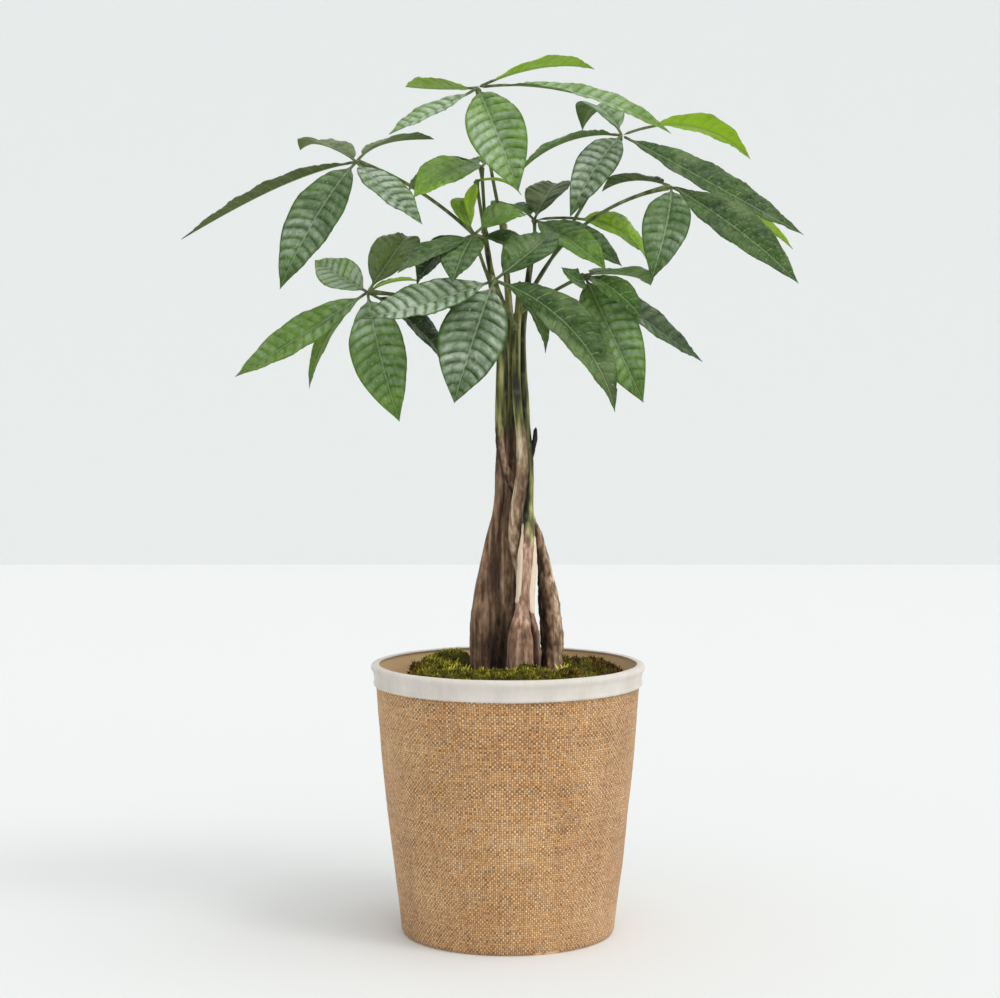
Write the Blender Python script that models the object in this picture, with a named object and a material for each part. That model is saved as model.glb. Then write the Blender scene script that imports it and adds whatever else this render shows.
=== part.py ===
"""Money tree with a braided trunk in a burlap pot cover.

Units in the tables are millimetres, turned into metres where a mesh is made.
The origin is the centre of the pot's underside, +Z is up and the front faces -Y.
"""

import math
from typing import NamedTuple

import bmesh
import bpy
from mathutils import Matrix, Vector

MM = 0.001
GAP = 0.3  # clearance between neighbouring pieces

# Pot cover: a burlap wall sewn to a round base, with a cotton binding over the rim
COVER_HEIGHT = 163.0
COVER_BASE_RADIUS = 64.2
COVER_RIM_RADIUS = 80.5
COVER_BELLY = 1.2
COVER_LEVELS = (30.0, 60.0, 90.0, 120.0, 147.0)
BURLAP = 1.6
HEM_RADIUS = 2.5
BASE_THICKNESS = 2.4
BAND_HEIGHT = 12.8
BAND_INNER_LEG = 4.0
BAND_THICKNESS = 1.0
BAND_ROUNDING = 1.6
BAND_SLANT = 0.5  # the inner leg leans in with the wall

# Grower's pot, thin moulded plastic with drain holes in its floor
NURSERY_BASE_RADIUS = 52.0
NURSERY_RIM_RADIUS = 67.0
NURSERY_TOP = 147.0
NURSERY_WALL = 1.2
NURSERY_FLOOR = 1.8
NURSERY_CHAMFER = 2.0
NURSERY_LIP = 1.6
NURSERY_LIP_DEPTH = 6.0
DRAIN_HOLES = 6
DRAIN_RADIUS = 4.0
DRAIN_SIDES = 12
DRAIN_CIRCLE = 36.0
DRAIN_START = 0.31  # bearing of the first hole, in parts of the space between two

# Potting soil level with the grower's pot, and moss laid on both in four pads round the trunks
SOCKET_CLEARANCE = GAP + 0.1
MOSS_CENTRE = (5.0, 2.0)
MOSS_HOLE = (30.0, 27.0)
MOSS_SEAM = 1.2
MOSS_EDGE = 3.0
MOSS_RAGGED = 3.0

TURNED_SIDES = 48
TRUNK_SIDES = 10
PETIOLE_SIDES = 6
PULVINUS_RADIUS = 2.1
LEAF_THICKNESS = 0.9
LEAF_FOLD = 14.0  # degrees that each half of a blade rises from its midrib
STALK_HALF = 0.9  # half width of a leaflet's own short stalk
ROOT_STATION = 0.012  # where a leaflet starts along its midrib, inside the hub
BLADE_BASE = 1.05  # how hollow the blade's outline runs in from its stalk
BLADE_TIP = 1.2  # and out to its tip
BLADE_STATIONS = (0.0, 0.08, 0.2, 0.36, 0.54, 0.71, 0.85, 0.94)

# Thickness of a leaf stalk along its way, as shares of its swollen ends
PETIOLE_PROFILE = (
    (0.0, 0.55),
    (0.02, 1.0),
    (0.05, 0.95),
    (0.1, 0.62),
    (0.25, 0.6),
    (0.45, 0.6),
    (0.65, 0.6),
    (0.85, 0.62),
    (0.96, 0.8),
    (1.0, 1.0),
)

# Stub of a shed leaf stalk on the front trunk, as (x, y, z, radius) from inside the trunk
BUD_STUB = ((12.8, 1.5, 284, 1.2), (14.6, 1.5, 290, 1.6), (15.9, 1.4, 297, 1.5), (16.8, 1.2, 305, 0.9))

BURLAP_TAN = (0.56, 0.36, 0.19)
COTTON_CREAM = (0.84, 0.81, 0.74)
POT_PLASTIC = (0.05, 0.05, 0.045)
SOIL_BROWN = (0.05, 0.033, 0.022)
MOSS_GREEN = (0.13, 0.15, 0.03)
BARK_BROWN = (0.22, 0.15, 0.11)
LEAF_GREEN = (0.07, 0.16, 0.06)
YOUNG_GREEN = (0.24, 0.38, 0.05)


class Trunk(NamedTuple):
    """One braided stem: its line as (x, y, z, radius) from the buried foot to the tip."""

    name: str
    line: tuple


class Leaflet(NamedTuple):
    """One finger of a leaf: its tip measured from the hub, and how its midrib arches."""

    tip: tuple
    width: float
    rise: tuple = (7.0, 9.0)  # height of the arch over the chord at its two handles
    roll: float = 0.0  # degrees about the chord, away from facing up
    stalk: float = 5.0
    reach: float = 0.7  # where the far handle stands along the chord
    sweep: float = 0.0  # sideways bow of the midrib
    twist: float = 0.0  # degrees turned between the base and the tip


class Leaf(NamedTuple):
    """One palmate leaf: the trunk it grows from, at what height and bearing, and its hub."""

    name: str
    trunk: str
    height: float
    bearing: float
    hub: tuple
    bow: tuple
    leaflets: tuple
    colour: tuple = LEAF_GREEN


TRUNKS = (
    Trunk(
        "trunk_left",
        (
            (-15, 1, 126, 4.5),
            (-15.5, 1, 148, 6.6),
            (-15.5, 1, 167, 7.4),
            (-15, 1, 186, 7.8),
            (-13.5, 1, 205, 6.8),
            (-11.5, 1, 224, 4.9),
            (-9.8, 0.5, 238, 3.5),
            (-6.8, 0, 251, 3.0),
            (-5, 0.5, 264, 3.0),
            (-5, 1.5, 278, 2.8),
            (-4.4, 3, 291, 2.6),
            (-3.2, 4, 305, 2.4),
            (-2.2, 4.5, 325, 2.3),
            (-2.5, 4.5, 350, 2.2),
            (-6, 7, 378, 2.1),
            (-11, 10, 402, 1.9),
            (-14, 12, 422, 1.5),
        ),
    ),
    Trunk(
        "trunk_middle",
        (
            (-2, 13, 128, 4.5),
            (-2.5, 14.5, 148, 6.4),
            (-2.5, 14.5, 168, 7.0),
            (-2.8, 13, 188, 6.6),
            (-1.6, 10.8, 206, 5.7),
            (-1.9, 8.6, 224, 5.1),
            (-2.5, 8.6, 240, 4.5),
            (-1.2, 9.2, 254, 3.9),
            (0.2, 9.5, 268, 3.4),
            (1.4, 9, 283, 3.3),
            (1.9, 8.8, 300, 3.4),
            (2.8, 8.2, 322, 3.1),
            (2.2, 9.2, 345, 2.8),
            (1, 11.5, 372, 2.3),
            (-1, 14, 400, 1.9),
            (-2, 16, 428, 1.4),
        ),
    ),
    Trunk(
        "trunk_front",
        (
            (9.5, -12, 128, 5.0),
            (9.5, -13, 148, 8.2),
            (9.5, -13, 160, 9.8),
            (9.5, -13, 171, 10.0),
            (9.6, -12.5, 183, 9.0),
            (9.7, -11, 196, 5.7),
            (10.8, -9, 215, 5.1),
            (11.7, -6.5, 231, 4.9),
            (12.2, -4, 243, 3.3),
            (12.6, -1, 258, 2.6),
            (13, 1, 275, 2.5),
            (12.6, 1.5, 290, 2.5),
            (11, 1.5, 306, 2.4),
            (10.2, 1, 322, 2.4),
            (9, 1.5, 340, 2.3),
            (8.6, 3.5, 360, 2.2),
            (11, 6, 384, 2.0),
            (14, 10, 408, 1.7),
            (15, 13, 420, 1.3),
        ),
    ),
    Trunk(
        "trunk_right",
        (
            (26, 3, 128, 4.5),
            (26.5, 3, 148, 6.2),
            (26.5, 3, 168, 6.7),
            (26.5, 3, 184, 6.7),
            (25, 3.2, 197, 6.3),
            (23.2, 4, 211, 5.2),
            (21, 4.6, 225, 3.9),
            (17.5, 4.8, 240, 3.0),
            (12.4, 5.4, 252, 2.6),
            (7, 2.6, 262, 2.5),
            (2, -2.5, 272, 2.4),
            (-2, -4.2, 282, 2.4),
            (-4.6, -4, 294, 2.5),
            (-5.2, -2.6, 308, 2.6),
            (-5, -2, 325, 2.5),
            (-4.6, -1.8, 342, 2.4),
            (-4.5, -2, 360, 2.2),
            (-7, -4, 380, 2.0),
            (-10, -6, 396, 1.5),
        ),
    ),
    Trunk(
        "trunk_rear",
        (
            (11, 21, 128, 4.5),
            (11, 21, 148, 6.2),
            (10.5, 20, 168, 6.8),
            (9.5, 17.5, 188, 6.3),
            (9.6, 12.6, 207, 4.6),
            (6, 5.2, 224, 3.0),
            (3.6, -1.8, 238, 3.0),
            (4.2, -5, 249, 3.1),
            (6, -7, 261, 3.2),
            (8, -6.8, 272, 3.2),
            (9, -5.6, 284, 3.1),
            (8.4, -4.6, 297, 2.9),
            (6.4, -4.2, 311, 2.8),
            (5, -4.2, 326, 2.7),
            (4.8, -4.2, 342, 2.5),
            (5.2, -4, 358, 2.3),
            (6, -5, 376, 2.0),
            (7, -6.5, 392, 1.5),
        ),
    ),
)

LEAVES = (
    Leaf(
        "leaf_far_left",
        "trunk_left",
        414,
        190,
        (-89, -20, 461),
        (0, 0, 14),
        (
            Leaflet((-38, 55, 12), 25, (4, 8), stalk=3, reach=0.85),
            Leaflet((-101, -15, -46), 25, (7, 3), roll=8),
            Leaflet((-42, -35, -76), 30, (9, 8), roll=-38),
            Leaflet((40, -40, -39), 26, (2, 2), roll=10, sweep=4),
            Leaflet((44, 55, 19), 20, (8, 3), roll=-8),
        ),
    ),
    Leaf(
        "leaf_top",
        "trunk_middle",
        420,
        200,
        (-18, -5, 506),
        (0, 4, 0),
        (
            Leaflet((-45, 50, 7), 25, (-1, -1), roll=12, stalk=6),
            Leaflet((-51, -35, -31), 21, (-1, -1), roll=-14, stalk=8),
            Leaflet((24, -33, -64), 34, (6, 6), roll=36, stalk=3),
            Leaflet((71, 45, 17), 26, (5, 7), roll=-10, stalk=12),
            Leaflet((114, -10, -28), 22, (11, 9), stalk=16, twist=45),
        ),
    ),
    Leaf(
        "leaf_upper_left",
        "trunk_left",
        419,
        80,
        (-16, 15, 461),
        (0, 2, 0),
        (
            Leaflet((-39, -50, -22), 29, (8, 4), roll=-22),
            Leaflet((20, 62, -4), 24, (8, 8)),
            Leaflet((-26, 60, -6), 24, (8, 8)),
            Leaflet((-46, 34, -12), 22, (5, 6)),
        ),
    ),
    Leaf(
        "leaf_upper_right",
        "trunk_middle",
        368,
        20,
        (69, 25, 481),
        (0, 12, -2),
        (
            Leaflet((-62, -20, -24), 25, (8, 8)),
            Leaflet((-33, -50, -53), 24, (8, 10), roll=-27),
            Leaflet((-22, 50, 8), 25, (10, 20), stalk=4, reach=0.95),
            Leaflet((81, 25, -12), 27, (12, 17), roll=-16, stalk=20),
            Leaflet((108, -20, -61), 27, (1, 0), roll=38),
        ),
    ),
    Leaf(
        "leaf_far_right",
        "trunk_front",
        381,
        350,
        (98, 10, 449),
        (-20, 8, 22),
        (
            Leaflet((-40, 35, 0), 25, (5, 6)),
            Leaflet((-15, -45, -58), 28, (7, 7), roll=-12, sweep=-3),
            Leaflet((70, -52, -60), 28, (5, 6), roll=36),
            Leaflet((79, 43, -35), 20, (5, 6), stalk=14),
        ),
    ),
    Leaf(
        "leaf_centre_left",
        "trunk_right",
        388,
        200,
        (-20, -12, 419),
        (0, -2, 0),
        (
            Leaflet((-8, 34, 24), 14, (4, 5), sweep=-4),
            Leaflet((-44, -33, -24), 24, (1, 1), roll=-15),
            Leaflet((-12, -44, -30), 25, (2, 3)),
            Leaflet((31, 6, 12), 28, (4, 4), roll=28),
            Leaflet((-34, -4, -30), 27, (5, 6), roll=-30),
            Leaflet((38, 4, -12), 24, (1, 1), roll=30),
        ),
    ),
    Leaf(
        "leaf_centre_right",
        "trunk_front",
        412,
        30,
        (16, 25, 430),
        (0, 0, 0),
        (
            Leaflet((17, 50, 25), 27, (3, 6), reach=0.85),
            Leaflet((51, -45, -30), 23, (3, 3), roll=28),
            Leaflet((41, -59, -33), 25, (3, 3), roll=18),
            Leaflet((73, 35, -27), 27, (15, 17), roll=45, stalk=26),
            Leaflet((-25, 40, 8), 26, (5, 5)),
        ),
    ),
    Leaf(
        "leaf_front",
        "trunk_rear",
        364,
        255,
        (-8, -40, 391),
        (0, -6, -2),
        (
            Leaflet((-76, -30, -23), 30, (-2, -3), roll=-36),
            Leaflet((-23, -25, -71), 39, (5, 5), roll=-35),
            Leaflet((33, 35, 29), 31, (4, 4), roll=20, sweep=5),
            Leaflet((69, -20, -76), 33, (11, 13), roll=35, sweep=-7),
            Leaflet((30, 18, -42), 18, (8, 9)),
        ),
    ),
    Leaf(
        "leaf_lower_left",
        "trunk_right",
        366,
        200,
        (-83, -15, 385),
        (0, 0, 8),
        (
            Leaflet((-35, 45, 21), 23, (-1, -1), roll=-42),
            Leaflet((22, 43, 35), 28, (5, 7), roll=15, reach=0.85, sweep=3),
            Leaflet((-77, -15, -50), 25, (-1, -1), roll=-45),
            Leaflet((-37, 25, -57), 14, (8, 8)),
            Leaflet((20, -30, -76), 33, (8, 8), roll=45),
            Leaflet((52, 14, -52), 28, (6, 6), roll=35),
            Leaflet((30, 12, 7), 13, (3, 3), stalk=4),
        ),
    ),
    Leaf(
        "leaf_lower_right",
        "trunk_rear",
        374,
        350,
        (45, -15, 395),
        (0, 0, 2),
        (
            Leaflet((-14, -15, 4), 15, (2, 2), roll=-60, sweep=-8),
            Leaflet((33, -35, -75), 33, (8, 8), roll=50),
            Leaflet((43, 55, -4), 28, (3, 5), reach=0.85),
            Leaflet((71, 10, -51), 25, (0, -1), roll=40),
            Leaflet((32, -35, -27), 20, (5, 5), roll=20),
        ),
    ),
    Leaf(
        "leaf_young",
        "trunk_left",
        421,
        260,
        (-19, 6, 452),
        (0, 0, 0),
        (
            Leaflet((27, -8, -9), 9, (4, 5), stalk=2),
            Leaflet((-3, -16, -23), 9, (2, 2), roll=20, stalk=2),
        ),
        YOUNG_GREEN,
    ),
)

# Moss pads: name, first and last bearing, reach from the pot's axis, height, phase of the lumps
MOSS_STEPS = 9
MOSS_SHARES = (0.0, 0.12, 0.4, 0.7, 0.9, 1.0)
MOSS_PADS = (
    ("moss_front", 215, 322, 74.0, 17.0, 3.0),
    ("moss_right", 322, 405, 72.0, 14.5, 1.0),
    ("moss_back", 45, 135, 71.0, 14.0, 5.0),
    ("moss_left", 135, 215, 61.0, 17.0, 7.0),
)


def new_material(name, colour, roughness):
    material = bpy.data.materials.new(name)
    material.use_nodes = True
    shader = material.node_tree.nodes["Principled BSDF"]
    shader.inputs["Base Color"].default_value = (*colour, 1.0)
    shader.inputs["Roughness"].default_value = roughness
    shader.inputs["Metallic"].default_value = 0.0
    material.diffuse_color = (*colour, 1.0)
    return material


def object_from_mesh(name, mesh, material):
    piece = bpy.data.objects.new(name, mesh)
    mesh.materials.clear()
    mesh.materials.append(material)
    bpy.context.scene.collection.objects.link(piece)
    return piece


def object_from_bmesh(name, bm, material):
    bmesh.ops.recalc_face_normals(bm, faces=bm.faces)
    bmesh.ops.scale(bm, vec=(MM, MM, MM), verts=bm.verts)
    mesh = bpy.data.meshes.new(name)
    bm.to_mesh(mesh)
    bm.free()
    piece = object_from_mesh(name, mesh, material)
    mesh.shade_smooth()
    mesh.set_sharp_from_angle(angle=math.radians(40))
    return piece


def bridge(bm, lower, upper):
    """Join two rings of the same number of vertices with quads."""
    count = len(lower)
    for i in range(count):
        j = (i + 1) % count
        bm.faces.new((lower[i], lower[j], upper[j], upper[i]))


def close_with_point(bm, ring, point):
    tip = bm.verts.new(point)
    count = len(ring)
    for i in range(count):
        bm.faces.new((ring[i], ring[(i + 1) % count], tip))


def add_loft(bm, rings, start_point=None, end_point=None):
    """Skin a row of rings; each end is a flat cap, or runs to a point if one is given."""
    loops = [[bm.verts.new(co) for co in ring] for ring in rings]
    for lower, upper in zip(loops, loops[1:]):
        bridge(bm, lower, upper)
    if start_point is None:
        bm.faces.new(list(reversed(loops[0])))
    else:
        close_with_point(bm, loops[0], start_point)
    if end_point is None:
        bm.faces.new(loops[-1])
    else:
        close_with_point(bm, loops[-1], end_point)


def flat_circle(radius, z, sides=TURNED_SIDES, centre=(0.0, 0.0)):
    """Points of a level circle."""
    points = []
    for step in range(sides):
        angle = 2 * math.pi * step / sides
        points.append((centre[0] + radius * math.cos(angle), centre[1] + radius * math.sin(angle), z))
    return points


def turned_ring(name, profile, material):
    """Turn a closed profile of (radius, height) points about the Z axis."""
    bm = bmesh.new()
    loops = [[bm.verts.new(co) for co in flat_circle(r, z)] for r, z in profile]
    for loop, following in zip(loops, loops[1:] + loops[:1]):
        bridge(bm, loop, following)
    return object_from_bmesh(name, bm, material)


def turned_disc(name, profile, material):
    """Turn an open profile that starts and ends on the Z axis."""
    bm = bmesh.new()
    rings = [flat_circle(r, z) for r, z in profile[1:-1]]
    add_loft(bm, rings, start_point=(0, 0, profile[0][1]), end_point=(0, 0, profile[-1][1]))
    return object_from_bmesh(name, bm, material)


def boolean(target, tools, operation):
    """Apply a Boolean with each tool in turn and remove the tools."""
    for tool in tools:
        tool.hide_render = True
        tool.display_type = "WIRE"
        modifier = target.modifiers.new(operation.title(), "BOOLEAN")
        modifier.operation = operation
        modifier.solver = "EXACT"
        modifier.object = tool
    depsgraph = bpy.context.evaluated_depsgraph_get()
    mesh = bpy.data.meshes.new_from_object(target.evaluated_get(depsgraph))
    mesh.name = target.name
    target.modifiers.clear()
    target.data = mesh
    for tool in tools:
        bpy.data.objects.remove(tool)
    return target


def cover_radius(z):
    """Outer radius of the burlap wall at a height, nearly straight with a slight belly."""
    t = z / COVER_HEIGHT
    belly = COVER_BELLY * math.sin(math.pi * t)
    return COVER_BASE_RADIUS + (COVER_RIM_RADIUS - COVER_BASE_RADIUS) * t + belly


def hem_radius():
    """Radius of the flat ring that the burlap wall stands on, at its outer edge."""
    return cover_radius(0) - HEM_RADIUS * 0.6


def make_burlap_wall():
    material = new_material("burlap", BURLAP_TAN, 0.95)
    top = COVER_HEIGHT - BAND_THICKNESS - GAP
    levels = (HEM_RADIUS, *COVER_LEVELS, top)
    outer = [(hem_radius(), 0.0)]
    outer += [(cover_radius(z), z) for z in levels]
    inner = [(cover_radius(z) - BURLAP, z) for z in levels[:0:-1]]
    inner += [(hem_radius() - BURLAP, 0.0)]
    return turned_ring("burlap_wall", outer + inner, material)


def make_burlap_base():
    material = new_material("burlap_base", BURLAP_TAN, 0.95)
    edge = hem_radius() - BURLAP - SOCKET_CLEARANCE
    profile = ((0, 0), (edge, 0), (edge, BASE_THICKNESS), (0, BASE_THICKNESS))
    return turned_disc("burlap_base", profile, material)


def make_rim_band():
    """Cotton binding folded over the rim, its outer leg longer than its inner one."""
    material = new_material("cotton_band", COTTON_CREAM, 0.9)
    low = COVER_HEIGHT - BAND_HEIGHT
    inner_low = COVER_HEIGHT - BAND_INNER_LEG
    crown = COVER_HEIGHT - BAND_THICKNESS
    outside = cover_radius(COVER_HEIGHT) + GAP
    inside = cover_radius(COVER_HEIGHT) - BURLAP - GAP
    profile = (
        (outside, low),
        (outside + BAND_THICKNESS * 0.8, low),
        (outside + BAND_THICKNESS * 1.2, low + BAND_ROUNDING),
        (outside + BAND_THICKNESS * 1.2, COVER_HEIGHT - BAND_ROUNDING),
        (outside + BAND_THICKNESS * 0.4, COVER_HEIGHT),
        (inside - BAND_THICKNESS * 0.3, COVER_HEIGHT),
        (inside - BAND_THICKNESS, COVER_HEIGHT - BAND_ROUNDING),
        (inside - BAND_THICKNESS - GAP, inner_low),
        (inside - BAND_SLANT - GAP, inner_low),
        (inside - GAP, crown),
        (outside, crown),
    )
    return turned_ring("rim_band", profile, material)


def nursery_radius(z):
    share = (z - BASE_THICKNESS) / (NURSERY_TOP - BASE_THICKNESS)
    return NURSERY_BASE_RADIUS + (NURSERY_RIM_RADIUS - NURSERY_BASE_RADIUS) * share


def make_nursery_pot():
    """Grower's pot with a chamfered foot, a lip and a ring of drain holes."""
    material = new_material("pot_plastic", POT_PLASTIC, 0.5)
    low = BASE_THICKNESS + GAP
    lip_low = NURSERY_TOP - NURSERY_LIP_DEPTH
    chamfer_top = low + NURSERY_CHAMFER * 1.5
    foot = nursery_radius(low) - NURSERY_CHAMFER
    profile = (
        (0, low),
        (foot, low),
        (nursery_radius(chamfer_top), chamfer_top),
        (nursery_radius(lip_low), lip_low),
        (nursery_radius(lip_low) + NURSERY_LIP, lip_low),
        (nursery_radius(NURSERY_TOP) + NURSERY_LIP, NURSERY_TOP),
        (nursery_radius(NURSERY_TOP) - NURSERY_WALL, NURSERY_TOP),
        (nursery_radius(chamfer_top) - NURSERY_WALL, chamfer_top),
        (foot - NURSERY_WALL, low + NURSERY_FLOOR),
        (0, low + NURSERY_FLOOR),
    )
    pot = turned_disc("nursery_pot", profile, material)
    drills = []
    for hole in range(DRAIN_HOLES):
        angle = 2 * math.pi * (hole + DRAIN_START) / DRAIN_HOLES
        centre = (DRAIN_CIRCLE * math.cos(angle), DRAIN_CIRCLE * math.sin(angle))
        bm = bmesh.new()
        ends = (low - NURSERY_FLOOR, low + 2 * NURSERY_FLOOR)
        add_loft(bm, [flat_circle(DRAIN_RADIUS, z, DRAIN_SIDES, centre) for z in ends])
        drills.append(object_from_bmesh("drill", bm, material))
    return boolean(pot, drills, "DIFFERENCE")


def make_soil():
    """Soil filling the grower's pot, with a socket for the buried foot of each trunk."""
    material = new_material("potting_soil", SOIL_BROWN, 1.0)
    floor = BASE_THICKNESS + GAP + NURSERY_FLOOR + GAP
    side = NURSERY_WALL + GAP
    chamfer_top = floor + NURSERY_CHAMFER * 2
    profile = (
        (0, floor),
        (nursery_radius(floor) - NURSERY_CHAMFER - side - GAP, floor),
        (nursery_radius(chamfer_top) - side, chamfer_top),
        (nursery_radius(NURSERY_TOP) - side, NURSERY_TOP),
        (0, NURSERY_TOP),
    )
    soil = turned_disc("potting_soil", profile, material)
    sockets = [make_stem(trunk.name + "_socket", trunk.line, SOCKET_CLEARANCE) for trunk in TRUNKS]
    return boolean(soil, sockets, "DIFFERENCE")


def moss_height(angle, share, height, phase):
    """Lumpy top of a moss pad: low at both edges, with soft hummocks between."""
    dome = math.sin(math.pi * min(1.0, 0.12 + 0.88 * share)) ** 0.6
    lumps = 1.6 * math.sin(5 * angle + phase) + 1.2 * math.sin(9 * angle + 2 * phase + 4 * share)
    return max(MOSS_EDGE, height * (0.45 + 0.55 * dome) + lumps * dome)


def moss_span(direction, reach, ragged):
    """Distances from the moss centre to its hole and to its outer edge, along a direction."""
    hole = 1 / math.hypot(direction.x / MOSS_HOLE[0], direction.y / MOSS_HOLE[1])
    middle = Vector(MOSS_CENTRE)
    offset = middle.dot(direction)
    outer = math.sqrt(offset**2 + reach**2 - middle.length_squared) - offset
    return hole, outer - MOSS_RAGGED * ragged


def make_moss_pad(name, start, end, reach, height, phase):
    """A pad that covers a sector of the soil between the trunks and the pot cover."""
    material = new_material(name, MOSS_GREEN, 1.0)
    low = NURSERY_TOP + GAP
    bm = bmesh.new()
    rings = []
    for step in range(MOSS_STEPS + 1):
        angle = math.radians(start + (end - start) * step / MOSS_STEPS)
        direction = Vector((math.cos(angle), math.sin(angle)))
        hole, outer = moss_span(direction, reach, (1 + math.sin(4 * angle + phase)) / 2)
        inward = (step == 0) - (step == MOSS_STEPS)
        seam = Vector((-direction.y, direction.x)) * MOSS_SEAM / 2 * inward
        upper, lower = [], []
        for share in MOSS_SHARES:
            place = direction * (hole + (outer - hole) * share) + seam + Vector(MOSS_CENTRE)
            rise = moss_height(angle, share, height, phase)
            upper.append((place.x, place.y, low + rise))
            lower.append((place.x, place.y, low))
        rings.append(upper + lower[::-1])
    add_loft(bm, rings)
    return object_from_bmesh(name, bm, material)


def ring_around(centre, tangent, radius, sides, side_hint):
    """Points on a circle square to a tangent, turned so that rings along a tube line up."""
    across = tangent.cross(side_hint).normalized()
    up = across.cross(tangent).normalized()
    points = []
    for step in range(sides):
        angle = 2 * math.pi * step / sides
        points.append(centre + (across * math.cos(angle) + up * math.sin(angle)) * radius)
    return points


def make_stem(name, line, grow=0.0):
    """Round stem along a line of (x, y, z, radius); grow makes it thicker, to cut a socket."""
    centres = [Vector(point[:3]) for point in line]
    last = len(centres) - 1
    rings = []
    for i, centre in enumerate(centres):
        tangent = (centres[min(i + 1, last)] - centres[max(i - 1, 0)]).normalized()
        rings.append(ring_around(centre, tangent, line[i][3] + grow, TRUNK_SIDES, Vector((0, 1, 0))))
    foot = centres[0] - (centres[1] - centres[0]).normalized() * (line[0][3] / 2 + grow)
    head = centres[-1] + (centres[-1] - centres[-2]).normalized() * (line[-1][3] + grow)
    bm = bmesh.new()
    add_loft(bm, rings, start_point=foot, end_point=head)
    return object_from_bmesh(name, bm, new_material(name, BARK_BROWN, 0.85))


def make_trunk(trunk):
    stem = make_stem(trunk.name, trunk.line)
    if trunk.name == "trunk_front":
        boolean(stem, [make_stem("bud_stub", BUD_STUB)], "UNION")
    return stem


def trunk_at(name, height):
    """Centre and radius of a trunk at a height."""
    line = next(trunk.line for trunk in TRUNKS if trunk.name == name)
    for lower, upper in zip(line, line[1:]):
        if lower[2] <= height <= upper[2]:
            share = (height - lower[2]) / (upper[2] - lower[2])
            values = [a + (b - a) * share for a, b in zip(lower, upper)]
            return Vector(values[:3]), values[3]
    raise ValueError(f"{name} does not reach {height} mm")


def petiole_line(leaf):
    """Foot against the trunk, then the stalk's start, handle and end at the hub."""
    centre, radius = trunk_at(leaf.trunk, leaf.height)
    bearing = math.radians(leaf.bearing)
    outward = Vector((math.cos(bearing), math.sin(bearing), 0))
    foot = centre + outward * (radius + GAP)
    root = foot + outward * PULVINUS_RADIUS
    hub = Vector(leaf.hub)
    return foot, root, (root + hub) / 2 + Vector(leaf.bow), hub


def make_petiole(leaf, material):
    """Leaf stalk with a swollen foot at the trunk and a small knuckle at the hub."""
    foot, root, handle, hub = petiole_line(leaf)
    rings = []
    for t, share in PETIOLE_PROFILE:
        centre = root * (1 - t) ** 2 + handle * 2 * t * (1 - t) + hub * t**2
        tangent = ((handle - root) * (1 - t) + (hub - handle) * t).normalized()
        radius = PULVINUS_RADIUS * share
        rings.append(ring_around(centre, tangent, radius, PETIOLE_SIDES, Vector((1, 0, 0))))
    knuckle = hub + (hub - handle).normalized() * PULVINUS_RADIUS * 0.8
    bm = bmesh.new()
    add_loft(bm, rings, start_point=foot, end_point=knuckle)
    return object_from_bmesh(leaf.name, bm, material)


def leaflet_frame(leaflet):
    """Chord direction, length and upward normal of a leaflet, in the leaf's own space."""
    tip = Vector(leaflet.tip)
    length = tip.length
    chord = tip / length
    up = (Vector((0, 0, 1)) - chord * chord.z).normalized()
    up = Matrix.Rotation(math.radians(leaflet.roll), 3, chord) @ up
    return chord, length, up


def midrib_point(leaflet, u):
    """Place, normal and side of the midrib at a share u of its way."""
    chord, length, up = leaflet_frame(leaflet)
    across = chord.cross(up)
    bow = across * leaflet.sweep * 4 / 3
    near = chord * length * 0.3 + up * leaflet.rise[0] * 4 / 3 + bow
    far = chord * length * leaflet.reach + up * leaflet.rise[1] * 4 / 3 + bow
    tip = chord * length
    place = near * 3 * u * (1 - u) ** 2 + far * 3 * u * u * (1 - u) + tip * u**3
    tangent = near * (1 - u) ** 2 + (far - near) * 2 * u * (1 - u) + (tip - far) * u * u
    tangent.normalize()
    turn = Matrix.Rotation(math.radians(leaflet.twist * u), 3, tangent)
    normal = turn @ across.cross(tangent).normalized()
    return place, normal, tangent.cross(normal)


def blade_width(t):
    """Width of a blade along its length: widest near the middle and drawn to a point."""
    peak = BLADE_BASE / (BLADE_BASE + BLADE_TIP)
    return (t / peak) ** BLADE_BASE * ((1 - t) / (1 - peak)) ** BLADE_TIP


def make_leaflet(leaflet, hub, material):
    """Thin folded blade on a short stalk, a closed solid that starts inside the hub."""
    foot = leaflet.stalk / Vector(leaflet.tip).length
    fold = math.tan(math.radians(LEAF_FOLD))
    rings = []
    for u in (ROOT_STATION, *[foot + (1 - foot) * t for t in BLADE_STATIONS]):
        place, normal, side = midrib_point(leaflet, u)
        on_stalk = u <= foot
        t = max(0.0, (u - foot) / (1 - foot))
        half = max(STALK_HALF, leaflet.width / 2 * blade_width(t))
        lift = 0.0 if on_stalk else half * fold
        thickness = STALK_HALF if on_stalk else LEAF_THICKNESS / 2
        centre = place + hub
        rings.append(
            [
                centre + normal * thickness,
                centre + side * half + normal * lift,
                centre - normal * thickness,
                centre - side * half + normal * lift,
            ]
        )
    bm = bmesh.new()
    add_loft(bm, rings, end_point=hub + Vector(leaflet.tip))
    return object_from_bmesh("leaflet", bm, material)


def make_leaf(leaf):
    """Stalk, hub and leaflets joined into the one body that they grow as."""
    material = new_material(leaf.name, leaf.colour, 0.35)
    petiole = make_petiole(leaf, material)
    blades = [make_leaflet(leaflet, Vector(leaf.hub), material) for leaflet in leaf.leaflets]
    return boolean(petiole, blades, "UNION")


def clear_scene():
    for existing in list(bpy.data.objects):
        bpy.data.objects.remove(existing)


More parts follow.
